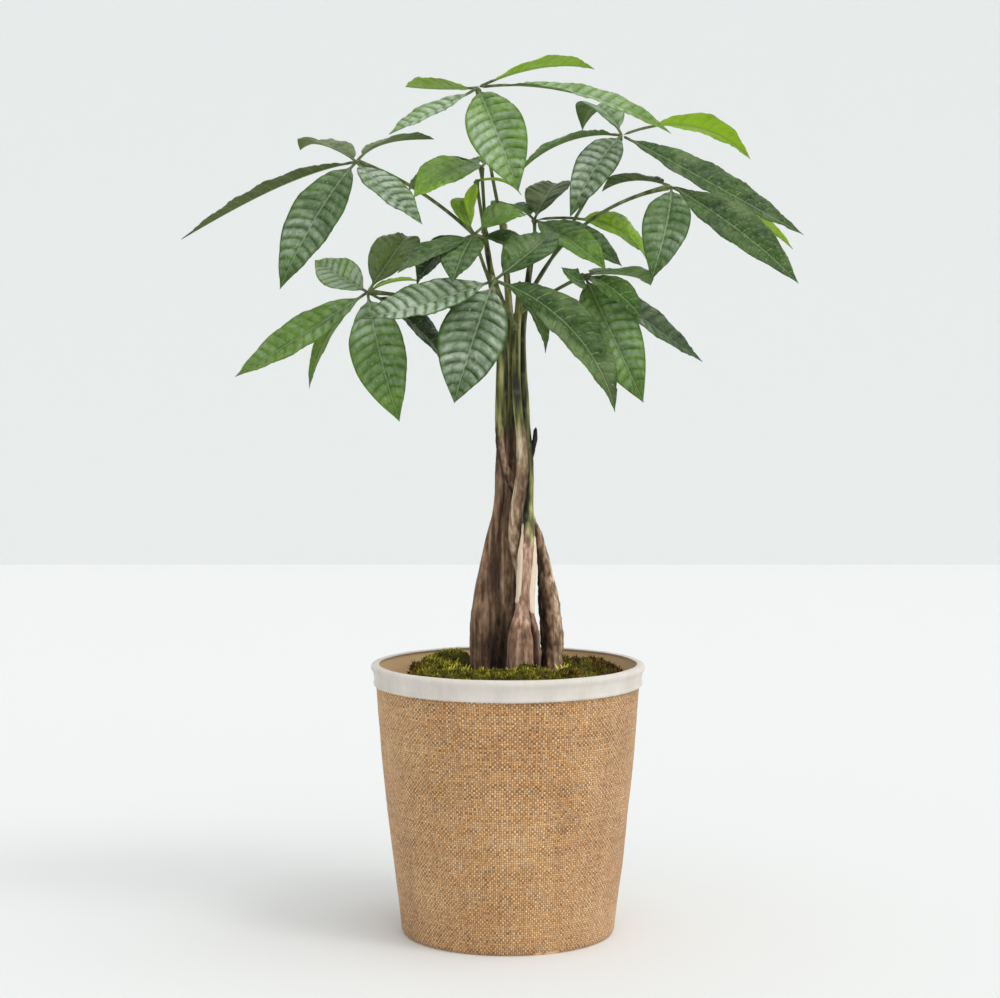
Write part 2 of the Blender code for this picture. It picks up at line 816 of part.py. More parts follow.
def main():
    clear_scene()
    make_burlap_wall()
    make_burlap_base()
    make_rim_band()
    make_nursery_pot()
    make_soil()
    for pad in MOSS_PADS:
        make_moss_pad(*pad)
    for trunk in TRUNKS:
        make_trunk(trunk)
    for leaf in LEAVES:
        make_leaf(leaf)


main()
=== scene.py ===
"""Looks of the potted money tree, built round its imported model.

Tables are in millimetres and degrees, and meshes are made in metres. The front faces -Y.
The trunks and leaves follow the same lines and the same rules as the model's own solids.
"""

import math
from typing import NamedTuple

import bpy
import numpy as np
from mathutils import Matrix, Vector, noise


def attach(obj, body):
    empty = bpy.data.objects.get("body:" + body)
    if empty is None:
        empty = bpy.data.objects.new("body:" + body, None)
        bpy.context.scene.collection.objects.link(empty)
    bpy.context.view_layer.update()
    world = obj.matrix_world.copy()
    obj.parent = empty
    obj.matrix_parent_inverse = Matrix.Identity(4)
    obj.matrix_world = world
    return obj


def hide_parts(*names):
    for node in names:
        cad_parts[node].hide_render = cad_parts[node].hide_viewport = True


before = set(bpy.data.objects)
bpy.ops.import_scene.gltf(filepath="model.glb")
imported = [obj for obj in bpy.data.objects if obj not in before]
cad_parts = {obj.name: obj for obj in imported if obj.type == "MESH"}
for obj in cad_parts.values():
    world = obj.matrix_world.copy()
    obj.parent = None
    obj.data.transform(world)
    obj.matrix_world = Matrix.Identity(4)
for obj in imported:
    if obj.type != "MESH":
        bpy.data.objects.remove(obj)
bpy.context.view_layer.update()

MM = 0.001
TURN = 2 * math.pi
ROOT_BODY = "root"

# Pot cover
COVER_HEIGHT = 163.0
COVER_BASE_RADIUS = 64.2
COVER_RIM_RADIUS = 80.5
COVER_BELLY = 1.2
COVER_SIDES = 96
COVER_STEPS = 34
BURLAP = 1.6
HEM_RADIUS = 2.5
BASE_THICKNESS = 2.4
LAP_BEARING = math.pi / 2  # the burlap is lapped and sewn at the back
LAP_RISE = 0.9
BAND_HEIGHT = 12.8
BAND_THICKNESS = 1.0
BAND_CLEARANCE = 0.3
JOIN_BEARING = 0.02 - math.pi / 2  # the band is joined at the front
JOIN_RISE = 0.4
LIP_FLARE = 0.5
LIP_INNER_DROP = 0.55  # how far the lip comes down inside the cover
LIP_STEPS = 12
THREAD_PITCH = 1.32
COTTON_PITCH = 0.42

# The band's face, from its hem up: how far it stands out, and how high it is
BAND_FACE = (
    (-0.3, 0), (0.1, 0.35), (0.2, 1.0), (0.05, 1.7), (-0.25, 2.3),
    (-0.3, 3.6), (-0.3, 5.2), (-0.25, 6.8), (-0.1, 8.2),
)

# Grower's pot and soil
POT_BASE_RADIUS = 52.0
POT_RIM_RADIUS = 67.0
POT_TOP = 147.0
POT_FLOOR = 2.7
POT_WALL = 1.2
POT_HEEL = POT_FLOOR + 3
POT_LIP = POT_TOP - 6.0
DRAIN_HOLES = 6
DRAIN_CIRCLE = 36.0
DRAIN_RADIUS = 4.0
DRAIN_START = 0.31
SOIL_CLEARANCE = 0.3

# The grower's pot, up its outside and down its inside: height, and how far out and up from there
POT_PROFILE = (
    (POT_FLOOR, -2.0, 0), (POT_FLOOR, -0.4, 1.2), (POT_HEEL, 0, 0),
    (48.0, -0.3, 0), (48.0, 0.3, 0.8), (96.0, -0.3, 0), (96.0, 0.3, 0.8),
    (POT_LIP, 0, 0), (POT_LIP, 1.5, 0.2), (POT_TOP, 1.5, -0.5), (POT_TOP, 1.1, 0),
    (POT_TOP, 0.3 - POT_WALL, 0), (POT_TOP, -POT_WALL, -0.3),
    (POT_HEEL, -POT_WALL, 0), (POT_FLOOR, -2.0 - POT_WALL, 1.8),
)

# Leaf stalks and blades
PULVINUS_RADIUS = 2.1
STALK_SINK = 0.9  # how far a leaf stalk's foot is grown into its trunk
LEAFLET_STALK = 0.85
ROOT_STATION = 0.012
LEAF_FOLD = math.radians(14.0)
LEAF_ARCH = 0.7  # how much each half of a blade curves down again towards its edge
BLADE_BASE = 1.05
BLADE_TIP = 1.2
BLADE_HALF_THICKNESS = 0.17
VEIN_SPACING = 6.2
VEIN_SLANT = 0.42
QUILT = 1.0  # how far the blade swells between two veins, on a wide leaflet
WIDE_HALF = 15.0
TOP_COLUMNS = 22
UNDER_COLUMNS = 14
STALK_ROWS = 5
ROWS_PER_PANEL = 6
PETIOLE_COLUMNS = 14
PETIOLE_ROWS = 56

# A leaf stalk from its trunk to its leaflets: share of its way, and how thick it is there
PETIOLE_PROFILE = (
    (0.0, 0.9), (0.02, 1.0), (0.05, 0.92), (0.1, 0.62), (0.25, 0.52), (0.45, 0.5),
    (0.65, 0.5), (0.85, 0.56), (0.95, 0.78), (0.985, 0.95), (1.0, 0.8),
)

# Bark
TRUNK_COLUMNS = 44
TRUNK_ROW_SPACING = 1.15
GREEN_FADE = 9.0
SCAR_SPACING = 21.0
STUB_SIDES = 12
STUB_LINE = ((12.8, 1.5, 284, 1.2), (14.6, 1.5, 290, 1.6), (15.9, 1.4, 297, 1.5), (16.8, 1.2, 305, 0.9))

# Moss
MOSS_CENTRE = (5.0, 2.0)
MOSS_HOLE = (30.0, 27.0)
MOSS_BARE_RADIUS = 28.0
MOSS_EDGE = 3.0
MOSS_RAGGED = 3.0
MOSS_LOW = POT_TOP + 0.3
SHOOT_HEIGHT = 4.8
SHOOT_RADIUS = 1.25
SHOOT_BLADES = 8
SHOOTS_PER_MM2 = 0.34
SHOOT_LEAN = 1.25
SHOOT_SINK = 0.9

# Moss pads: name, first and last bearing, reach from the pot's axis, height, phase of the lumps
MOSS_PADS = (
    ("moss_front", 215, 322, 74.5, 18.0, 3.0),
    ("moss_right", 322, 405, 72.5, 16.0, 1.0),
    ("moss_back", 45, 135, 71.0, 14.0, 5.0),
    ("moss_left", 135, 215, 63.0, 19.0, 7.0),
)

# Tall upright shoots at the front: size, x, y, tone
SPRIGS = (
    (2.1, -26.0, -24.0, 0.7), (1.8, -34.0, -30.0, 0.9), (2.0, 33.0, -16.0, 1.0),
    (1.7, 36.0, -20.0, 0.9), (1.7, 2.0, -34.0, 0.8),
)


class Trunk(NamedTuple):
    """One braided stem: its line as (x, y, z, radius), and how its bark looks."""

    name: str
    line: tuple
    green_from: float = 303.0
    tone: float = 0.4  # from dark to pale bark
    pink: float = 0.2
    rough: float = 0.5
    sunny: float = 270.0  # bearing of the side painted paler, as painted light falling on it
    paler: float = 0.1
    foot: float = 0.1  # painted shade: how much darker it is down by the soil


class Leaflet(NamedTuple):
    """One finger of a leaf: its tip measured from the hub, its shape, and its look."""

    tip: tuple
    width: float
    rise: tuple  # how high its midrib arches, near the hub and near the tip
    look: tuple  # tone from deep green to lime, partly own colour and partly painted light (lime where light shines through, deep in shade); painted sheen; and a cast of olive if it has one
    roll: float = 0.0
    stalk: float = 5.0
    reach: float = 0.7
    sweep: float = 0.0
    twist: float = 0.0


class Leaf(NamedTuple):
    """One palmate leaf: the trunk it grows from, at what height and bearing, and its hub."""

    name: str
    trunk: str
    height: float
    bearing: float
    hub: tuple
    bow: tuple  # how far its stalk bends away from a straight line
    leaflets: tuple


TRUNKS = (
    Trunk("trunk_left", tone=0.275, pink=0.5, rough=0.35, sunny=228.0, paler=0.17, foot=0.08, line=(
        (-15, 1, 126, 4.5), (-15.5, 1, 148, 6.6), (-15.5, 1, 167, 7.4), (-15, 1, 186, 7.8),
        (-13.5, 1, 205, 6.8), (-11.5, 1, 224, 4.9), (-9.8, 0.5, 238, 3.5), (-6.8, 0, 251, 3.0),
        (-5, 0.5, 264, 3.0), (-5, 1.5, 278, 2.8), (-4.4, 3, 291, 2.6), (-3.2, 4, 305, 2.4),
        (-2.2, 4.5, 325, 2.3), (-2.5, 4.5, 350, 2.2), (-6, 7, 378, 2.1), (-11, 10, 402, 1.9),
        (-14, 12, 422, 1.5),
    )),
    Trunk("trunk_middle", tone=0.33, pink=0.25, rough=0.5, sunny=225.0, paler=0.15, foot=0.16, line=(
        (-2, 13, 128, 4.5), (-2.5, 14.5, 148, 6.4), (-2.5, 14.5, 168, 7.0), (-2.8, 13, 188, 6.6),
        (-1.2, 10.8, 206, 6.3), (-1.6, 8.6, 224, 5.8), (-2.2, 8.6, 240, 5.0), (-0.8, 9.2, 254, 4.6),
        (0.7, 9.5, 268, 4.4), (1.7, 9, 283, 4.2), (2.0, 8.8, 300, 3.9), (2.8, 8.2, 322, 3.1),
        (2.2, 9.2, 345, 2.8), (1, 11.5, 372, 2.3), (-1, 14, 400, 1.9), (-2, 16, 428, 1.4),
    )),
    Trunk("trunk_front", green_from=240.0, tone=0.56, pink=0.7, rough=0.7, foot=0.15, line=(
        (9.5, -12, 128, 5.0), (9.5, -13, 148, 8.2), (9.5, -13, 160, 9.8), (9.5, -13, 171, 10.0),
        (9.6, -12.5, 183, 9.0), (9.7, -11, 196, 5.7), (10.8, -9, 215, 5.1), (11.7, -6.5, 231, 4.9),
        (12.1, -4, 243, 3.8), (12.2, -1, 258, 3.1), (13, 1, 275, 2.5), (12.6, 1.5, 290, 2.5),
        (11, 1.5, 306, 2.4), (10.2, 1, 322, 2.4), (9, 1.5, 340, 2.3), (8.6, 3.5, 360, 2.2),
        (11, 6, 384, 2.0), (14, 10, 408, 1.7), (15, 13, 420, 1.3),
    )),
    Trunk("trunk_right", tone=0.29, pink=0.4, rough=1.6, sunny=338.0, paler=0.36, foot=0.06, line=(
        (26, 3, 128, 4.5), (26.5, 3, 148, 6.2), (26.5, 3, 168, 6.7), (26.5, 3, 184, 6.7),
        (25, 3.2, 197, 6.3), (23.2, 4, 211, 5.2), (21, 4.6, 225, 3.9), (17.5, 4.8, 240, 3.0),
        (12.4, 5.4, 252, 2.6), (7, 2.6, 262, 2.5), (2, -2.5, 272, 2.4), (-2, -4.2, 282, 2.4),
        (-4.6, -4, 294, 2.5), (-5.2, -2.6, 308, 2.6), (-5, -2, 325, 2.5), (-4.6, -1.8, 342, 2.4),
        (-4.5, -2, 360, 2.2), (-7, -4, 380, 2.0), (-10, -6, 396, 1.5),
    )),
    Trunk("trunk_rear", tone=0.46, pink=0.2, rough=0.8, sunny=235.0, paler=0.26, line=(
        (11, 21, 128, 4.5), (11, 21, 148, 6.2), (10.5, 20, 168, 6.8), (9.5, 17.5, 188, 6.3),
        (9.6, 12.6, 207, 5.0), (6, 5.2, 224, 3.7), (3.9, -1.8, 238, 3.9), (4.5, -5, 249, 4.0),
        (6, -7, 261, 4.0), (7.8, -6.8, 272, 3.9), (8.6, -5.6, 284, 3.6), (8.3, -4.6, 297, 3.1),
        (6.4, -4.2, 311, 2.8), (5, -4.2, 326, 2.7), (4.8, -4.2, 342, 2.5), (5.2, -4, 358, 2.3),
        (6, -5, 376, 2.0), (7, -6.5, 392, 1.5),
    )),
)

LEAVES = (
    Leaf("leaf_far_left", "trunk_left", 414, 190, (-89, -20, 461), (0, 0, 14), (
        Leaflet((-38, 55, 12), 25, (4, 8), (0.35, 0.15, 0.6), stalk=3, reach=0.85),
        Leaflet((-101, -15, -46), 25, (7, 3), (0.2, 0.1, 0.9), roll=8),
        Leaflet((-42, -35, -76), 30, (9, 8), (0.22, 0.75), roll=-38),
        Leaflet((40, -40, -39), 26, (2, 2), (0.25, 1.7), roll=10, sweep=4),
        Leaflet((44, 55, 19), 20, (8, 3), (0.35, 0.3, 0.4), roll=-8),
    )),
    Leaf("leaf_top", "trunk_middle", 420, 200, (-18, -5, 506), (0, 4, 0), (
        Leaflet((-45, 50, 7), 25, (-1, -1), (0.95, 0.9, 0.2), roll=12, stalk=6),
        Leaflet((-51, -35, -31), 21, (-1, -1), (0.45, 1.3), roll=-14, stalk=8),
        Leaflet((24, -33, -64), 34, (6, 6), (0.52, 0.95), roll=36, stalk=3),
        Leaflet((71, 45, 17), 26, (5, 7), (1.35, 0.5), roll=-10, stalk=12),
        Leaflet((114, -10, -28), 22, (11, 9), (0.55, 0.8), stalk=16, twist=45),
    )),
    Leaf("leaf_upper_left", "trunk_left", 419, 80, (-16, 15, 461), (0, 2, 0), (
        Leaflet((-39, -50, -22), 29, (8, 4), (0.6, 0.3), roll=-22),
        Leaflet((20, 62, -4), 24, (8, 8), (0.3, 0.2)),
        Leaflet((-26, 60, -6), 24, (8, 8), (0.3, 0.2)),
        Leaflet((-46, 34, -12), 22, (5, 6), (0.35, 0.2)),
    )),
    Leaf("leaf_upper_right", "trunk_middle", 368, 20, (69, 25, 481), (0, 12, -2), (
        Leaflet((-62, -20, -24), 25, (8, 8), (0.5, 0.1, 0.15)),
        Leaflet((-33, -50, -53), 24, (8, 10), (0.2, 1.2), roll=-27),
        Leaflet((-22, 50, 8), 25, (10, 20), (0.35, 0.7), stalk=4, reach=0.95),
        Leaflet((81, 25, -12), 27, (12, 17), (1.05, 0), roll=-16, stalk=20),
        Leaflet((108, -20, -61), 27, (1, 0), (0.14, 0.25), roll=38),
    )),
    Leaf("leaf_far_right", "trunk_front", 381, 350, (98, 10, 449), (-20, 8, 22), (
        Leaflet((-40, 35, 0), 25, (5, 6), (0, 0.05)),
        Leaflet((-15, -45, -58), 28, (7, 7), (0.26, 0.65), roll=-12, sweep=-3),
        Leaflet((70, -52, -60), 28, (5, 6), (0.16, 0.2), roll=36),
        Leaflet((79, 43, -35), 20, (5, 6), (0.95, 0.1), stalk=14),
    )),
    Leaf("leaf_centre_left", "trunk_right", 388, 200, (-20, -12, 419), (0, -2, 0), (
        Leaflet((-8, 34, 24), 14, (4, 5), (0.75, 0.1), sweep=-4),
        Leaflet((-44, -33, -24), 24, (1, 1), (0.2, 0.3), roll=-15),
        Leaflet((-12, -44, -30), 25, (2, 3), (0.2, 0.4)),
        Leaflet((31, 6, 12), 28, (4, 4), (0.5, 0.35), roll=28),
        Leaflet((-34, -4, -30), 27, (5, 6), (-0.1, 0), roll=-30),
        Leaflet((38, 4, -12), 24, (1, 1), (0.15, 0.1), roll=30),
    )),
    Leaf("leaf_centre_right", "trunk_front", 412, 30, (16, 25, 430), (0, 0, 0), (
        Leaflet((17, 50, 25), 27, (3, 6), (0.2, 0.1, 0.6), reach=0.85),
        Leaflet((51, -45, -30), 23, (3, 3), (0.22, 0.35), roll=28),
        Leaflet((41, -59, -33), 25, (3, 3), (0.42, 0.3), roll=18),
        Leaflet((73, 35, -27), 27, (15, 17), (0.75, 0.05), roll=45, stalk=26),
        Leaflet((-25, 40, 8), 26, (5, 5), (0.3, 0.1)),
    )),
    Leaf("leaf_front", "trunk_rear", 364, 255, (-8, -40, 391), (0, -6, -2), (
        Leaflet((-76, -30, -23), 30, (-2, -3), (0.25, 1.5), roll=-36),
        Leaflet((-23, -25, -71), 39, (5, 5), (0.18, 1.05), roll=-35),
        Leaflet((33, 35, 29), 31, (4, 4), (0.2, 0.35), roll=20, sweep=5),
        Leaflet((69, -20, -76), 33, (11, 13), (0.12, 0.12), roll=35, sweep=-7),
        Leaflet((30, 18, -42), 18, (8, 9), (0.2, 0.1)),
    )),
    Leaf("leaf_lower_left", "trunk_right", 366, 200, (-83, -15, 385), (0, 0, 8), (
        Leaflet((-35, 45, 21), 23, (-1, -1), (0.6, 1.4), roll=-42),
        Leaflet((22, 43, 35), 28, (5, 7), (0.38, 0.3, 0.5), roll=15, reach=0.85, sweep=3),
        Leaflet((-77, -15, -50), 25, (-1, -1), (0.52, 0.6), roll=-45),
        Leaflet((-37, 25, -57), 14, (8, 8), (0.6, 0.1)),
        Leaflet((20, -30, -76), 33, (8, 8), (0.42, 0.8), roll=45),
        Leaflet((52, 14, -52), 28, (6, 6), (-0.2, 0), roll=35),
        Leaflet((30, 12, 7), 13, (3, 3), (1.1, 0), stalk=4),
    )),
    Leaf("leaf_lower_right", "trunk_rear", 374, 350, (45, -15, 395), (0, 0, 2), (
        Leaflet((-14, -15, 4), 15, (2, 2), (0.2, 0.2), roll=-60, sweep=-8),
        Leaflet((33, -35, -75), 33, (8, 8), (0.42, 0.55), roll=50),
        Leaflet((43, 55, -4), 28, (3, 5), (0.35, 0.1), reach=0.85),
        Leaflet((71, 10, -51), 25, (0, -1), (0.1, 0.65), roll=40),
        Leaflet((32, -35, -27), 20, (5, 5), (0.2, 0.05), roll=20),
    )),
    Leaf("leaf_young", "trunk_left", 421, 260, (-19, 6, 452), (0, 0, 0), (
        Leaflet((27, -8, -9), 9, (4, 5), (1.15, 0.1), stalk=2),
        Leaflet((-3, -16, -23), 9, (2, 2), (1, 0.1), roll=20, stalk=2),
    )),
)


def smooth_step(low, high, value):
    share = np.clip((value - low) / (high - low), 0, 1)
    return share * share * (3 - 2 * share)


def unit(vectors):
    return vectors / np.linalg.norm(vectors, axis=-1, keepdims=True)


def triples(*values):
    """Three numbers a point, side by side; one that is the same all over is spread out."""
    return np.stack(np.broadcast_arrays(*values), -1)


def turn_between(one, other, full=360):
    """How far apart two bearings are."""
    return np.abs(np.mod(one - other + full / 2, full) - full / 2)


def noise_at(points, cell, seed=0.0):
    """Smooth noise from -1 to 1 at points, with one cell size or one along each axis."""
    spots = points / np.array(cell, float) + seed * 7.31
    return np.array([noise.noise(Vector(spot)) for spot in spots])


# Modelling


def pick(*pieces):
    """Select these pieces and nothing else, with the first one active."""
    bpy.ops.object.select_all(action="DESELECT")
    for piece in pieces:
        piece.select_set(True)
    if pieces:
        bpy.context.view_layer.objects.active = pieces[0]


def placed(thing):
    """Put a new object in the scene."""
    bpy.context.scene.collection.objects.link(thing)
    return thing


def edit_all(piece):
    """Open a piece in edit mode with everything selected."""
    pick(piece)
    bpy.ops.object.mode_set(mode="EDIT")
    bpy.ops.mesh.select_all(action="SELECT")


def leave_edit():
    bpy.ops.object.mode_set(mode="OBJECT")


def close_seams(piece):
    """Weld the points that meet and turn the faces outwards."""
    edit_all(piece)
    bpy.ops.mesh.remove_doubles(threshold=1e-6)
    bpy.ops.mesh.normals_make_consistent(inside=False)
    leave_edit()


def join(pieces, name):
    pick(*pieces)
    bpy.ops.object.join()
    pieces[0].name = name
    return pieces[0]


def apply_modifier(piece, kind, **settings):
    pick(piece)
    modifier = piece.modifiers.new(kind.title(), kind)
    for key, value in settings.items():
        setattr(modifier, key, value)
    bpy.ops.object.modifier_apply(modifier=modifier.name)


def read(items, field, width, kind=np.float32):
    """One field of all the points, corners or faces of a mesh, a row each."""
    flat = np.empty(len(items) * width, kind)
    items.foreach_get(field, flat)
    return flat.reshape(-1, width)


def points_of(mesh):
    return read(mesh.vertices, "co", 3).astype(float) / MM


def set_points(mesh, points):
    mesh.vertices.foreach_set("co", (points * MM).astype(np.float32).ravel())
    mesh.update()


def set_layer(mesh, name, values):
    """Store three numbers a point under a name that a material reads."""
    values = np.broadcast_to(np.asarray(values, np.float32), (len(mesh.vertices), 3))
    mesh.attributes.new(name, "FLOAT_VECTOR", "POINT").data.foreach_set("vector", values.ravel())


def laid_grid(name, columns, rows, lay):
    """Add a grid, then lay its points and store its layers as lay(column, row) gives them."""
    pick()
    bpy.ops.mesh.primitive_grid_add(x_subdivisions=columns, y_subdivisions=rows, size=1)
    piece = bpy.context.object
    piece.name = name
    spots = read(piece.data.vertices, "co", 3) + 0.5
    points, layers = lay(np.rint(spots[:, 0] * columns), np.rint(spots[:, 1] * rows))
    set_points(piece.data, points)
    for key, values in layers.items():
        set_layer(piece.data, key, values)
    return piece


def finish_piece(piece, material, angle=35):
    """Dress a piece and put it on the frame in place of the plain solid that it is named after."""
    if angle:
        pick(piece)
        bpy.ops.object.shade_smooth_by_angle(angle=math.radians(angle))
    piece.data.materials.clear()
    piece.data.materials.append(material)
    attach(piece, ROOT_BODY)
    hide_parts(piece.name.removesuffix("_fine"))


def smooth_line(points, stations):
    """A curve that runs smoothly through rows of numbers, read at shares of its length."""
    points = np.array(points, float)
    steps = np.linalg.norm(np.diff(points[:, :3], axis=0), axis=1)
    knots = np.concatenate(([0], np.cumsum(steps)))
    slopes = np.gradient(points, knots, axis=0)
    at = stations * knots[-1]
    i = np.clip(np.searchsorted(knots, at, "right") - 1, 0, len(knots) - 2)
    gap = (knots[i + 1] - knots[i])[:, None]
    t = (at - knots[i])[:, None] / gap
    curve = points[i] * (1 + 2 * t) * (1 - t) ** 2 + points[i + 1] * t * t * (3 - 2 * t)
    return curve + slopes[i] * gap * t * (1 - t) ** 2 - slopes[i + 1] * gap * t * t * (1 - t)


def ways_out(centres, beside):
    """A rule that gives the direction out of a line at its points and at angles round it."""
    tangents = unit(np.gradient(centres, axis=0))
    across = unit(np.cross(tangents, beside))
    up = np.cross(across, tangents)
    return lambda i, angle: across[i] * np.cos(angle)[:, None] + up[i] * np.sin(angle)[:, None]


# Leaves


def midrib(leaflet, u):
    """Places, normals and sides along a midrib at an array of shares of its way."""
    tip = np.array(leaflet.tip, float)
    length = np.linalg.norm(tip)
    chord = tip / length
    up = unit(np.array((0, 0, 1.0)) - chord * chord[2])
    roll = math.radians(leaflet.roll)
    up = up * math.cos(roll) + np.cross(chord, up) * math.sin(roll)
    across = np.cross(chord, up)
    bow = across * leaflet.sweep * 4 / 3
    near = chord * length * 0.3 + up * leaflet.rise[0] * 4 / 3 + bow
    far = chord * length * leaflet.reach + up * leaflet.rise[1] * 4 / 3 + bow
    u = u[:, None]
    place = near * 3 * u * (1 - u) ** 2 + far * 3 * u * u * (1 - u) + tip * u**3
    tangent = unit(near * (1 - u) ** 2 + (far - near) * 2 * u * (1 - u) + (tip - far) * u * u)
    normal = unit(np.cross(across, tangent))
    turn = math.radians(leaflet.twist) * u
    normal = normal * np.cos(turn) + np.cross(tangent, normal) * np.sin(turn)
    return place, normal, np.cross(tangent, normal)


def half_width(leaflet, t):
    """Half the blade's width along its length: widest near the middle, drawn to a point."""
    peak = BLADE_BASE / (BLADE_BASE + BLADE_TIP)
    return leaflet.width / 2 * (t / peak) ** BLADE_BASE * ((1 - t) / (1 - peak)) ** BLADE_TIP


def make_leaflet(leaflet, hub, seed):
    """A quilted blade wrapped round from its upper side to its underside, on its short stalk.

    The rows of its mesh run along the side veins, so each vein is a crisp groove.
    """
    length = float(np.linalg.norm(leaflet.tip))
    foot = leaflet.stalk / length
    blade = length - leaflet.stalk
    tone, painted_sheen, olive = (*leaflet.look, 0)[:3]
    panels = max(5, round(blade / VEIN_SPACING))
    rows = STALK_ROWS + panels * ROWS_PER_PANEL

    def lay(column, row):
        upper = column <= TOP_COLUMNS
        turn_back = 1 - 2 * (column - TOP_COLUMNS) / UNDER_COLUMNS
        side = np.where(upper, 2 * column / TOP_COLUMNS - 1, turn_back)
        spread = np.abs(side)
        start = np.clip((row - STALK_ROWS) / (rows - STALK_ROWS), 0, 1)
        t = np.minimum(1, start + VEIN_SLANT * spread**1.4 * half_width(leaflet, start) / blade)
        half = half_width(leaflet, t)
        on_blade = smooth_step(0, 0.07, start)
        on_stalk = 1 - on_blade
        panel = start * panels
        size = np.clip(leaflet.width / 2 / WIDE_HALF, 0.3, 1.2)
        inside = smooth_step(0, 0.1, t) * smooth_step(0, 0.12, 1 - t)

        stalk = LEAFLET_STALK * smooth_step(-0.5, 0.5, row)
        x = side * (half * on_blade + stalk * on_stalk)
        rib = 0.14 + 0.46 * (1 - t) ** 0.7
        from_middle = np.abs(2 * np.mod(panel + 0.5 * (side < 0), 1) - 1)
        reach = smooth_step(0.8, 4.0, np.abs(x)) * (1 - 0.6 * spread**6) * inside
        vary = 0.8 + 0.45 * np.sin(2.4 * np.floor(panel) + 9 * seed + 2.2 * side)
        lift = half * math.tan(LEAF_FOLD) * (spread * (1 + LEAF_ARCH) - LEAF_ARCH * spread**2)
        wave = 0.5 * size * spread**3 * inside * np.sin(1.9 * panel + 11 * seed + 2 * (side > 0))
        flat = triples(x, start * blade, 31 * seed)
        crumple = 0.3 * noise_at(flat, (3.4, 2.1, 5), 1.0) * smooth_step(0, 2.5, np.abs(x)) * inside
        swell = QUILT * size * (1 - from_middle**3.2) * reach * vary
        surface = (lift + swell + wave + crumple) * on_blade
        body = BLADE_HALF_THICKNESS * np.sqrt(1 - spread**4) * on_blade
        body = body + stalk * np.sqrt(1 - spread**2) * on_stalk
        on_rib = np.exp(-((x / rib) ** 2)) * on_blade
        groove = 0.3 * on_rib * (1 - t)
        ridge = 0.9 * rib * on_rib * np.sqrt(1 - spread**2)
        side_ridge = 0.14 * (from_middle > 0.9) * reach * on_blade
        z = np.where(upper, surface + body - groove, surface - body - ridge - side_ridge)

        on_foot = ROOT_STATION + (foot - ROOT_STATION) * row / STALK_ROWS
        u = np.where(row < STALK_ROWS, on_foot, foot + (1 - foot) * t)
        place, normal, across = midrib(leaflet, u)
        x, z = (np.where(row == 0, 0, value)[:, None] for value in (x, z))
        layers = {
            "vein": triples(side, panel, np.abs(x[:, 0]) / rib),
            "look": triples(tone, painted_sheen, start),
            "blade": triples(~upper, on_stalk, olive),
        }
        return np.array(hub) + place + across * x + normal * z, layers

    return laid_grid("leaflet", TOP_COLUMNS + UNDER_COLUMNS, rows, lay)


def trunk_at(name, height):
    """Centre and radius of a trunk at a height."""
    line = next(trunk.line for trunk in TRUNKS if trunk.name == name)
    heights = [point[2] for point in line]
    *centre, radius = (np.interp(height, heights, column) for column in zip(*line))
    return np.array(centre), radius


def make_petiole(leaf):
    """Leaf stalk: swollen where it grows from its trunk and again below the leaflets."""
    centre, radius = trunk_at(leaf.trunk, leaf.height)
    bearing = math.radians(leaf.bearing)
    outward = np.array((math.cos(bearing), math.sin(bearing), 0))
    root = centre + outward * (radius - STALK_SINK)
    start = centre + outward * (radius + PULVINUS_RADIUS)
    hub = np.array(leaf.hub, float)
    handle = (start + hub) / 2 + np.array(leaf.bow)
    stations = np.arange(PETIOLE_ROWS + 1) / PETIOLE_ROWS
    t = stations[:, None]
    centres = root * (1 - t) ** 2 + handle * 2 * t * (1 - t) + hub * t**2
    centres[-1] = hub + unit(hub - handle) * PULVINUS_RADIUS * 0.6
    radii = PULVINUS_RADIUS * np.interp(stations, *zip(*PETIOLE_PROFILE))
    radii[[0, -1]] = 0
    way_out = ways_out(centres, (1, 0, 0))

    def lay(column, row):
        i = row.astype(int)
        share = row / PETIOLE_ROWS
        out = way_out(i, TURN * column / PETIOLE_COLUMNS)
        layers = {"vein": triples(0, share, 0), "look": triples(0.35, 0.2, share), "blade": (0, 1, 0)}
        return centres[i] + out * radii[i][:, None], layers

    return laid_grid("petiole", PETIOLE_COLUMNS, PETIOLE_ROWS, lay)


def make_leaf(leaf, order, material):
    """A whole palmate leaf, its stalk and leaflets joined in one piece."""
    parts = [make_petiole(leaf)]
    for finger, leaflet in enumerate(leaf.leaflets):
        parts.append(make_leaflet(leaflet, leaf.hub, math.modf(order * 0.37 + finger * 0.619)[0]))
    piece = join(parts, leaf.name + "_fine")
    close_seams(piece)
    finish_piece(piece, material, 60)


# Trunks


def strip(bearing, height, centre, half, low, high):
    """Mask of an upright strip of bark, drawn to a point below: 1 inside, crisp at its edge."""
    up = np.clip((height - low) / (high - low), 0, 1)
    half = half * np.sin(math.pi * np.clip(up, 0, 0.999) ** 0.6) ** 0.5 + 1
    return smooth_step(half + 4, half - 4, turn_between(bearing, centre)) * (up > 0) * (up < 1)


def peeled(bearing, height):
    """Where bark has lifted from the front trunk in pale strips, at the ends of its sheath."""
    left = strip(bearing, height, centre=216, half=25, low=201, high=247)
    return np.maximum(left, strip(bearing, height, centre=330, half=27, low=194, high=241))


def split(bearing, height):
    """Where the front trunk's foot is split by a deep crack that sets off a lobe on its right."""
    line = 309 + 0.25 * (196 - height) + 3 * np.sin(height * 0.4)
    return np.exp(-((turn_between(bearing, line) / 7) ** 2)) * smooth_step(202, 192, height)


def welt(bearing, height):
    """Where the middle trunk's edge stands up as a welt beside the left trunk; its paler colour is a
    painted highlight.
    """
    line = 238 + 0.5 * (height - 200)
    across = np.exp(-((turn_between(bearing, line) / 13) ** 2))
    return across * smooth_step(184, 200, height) * smooth_step(250, 232, height)


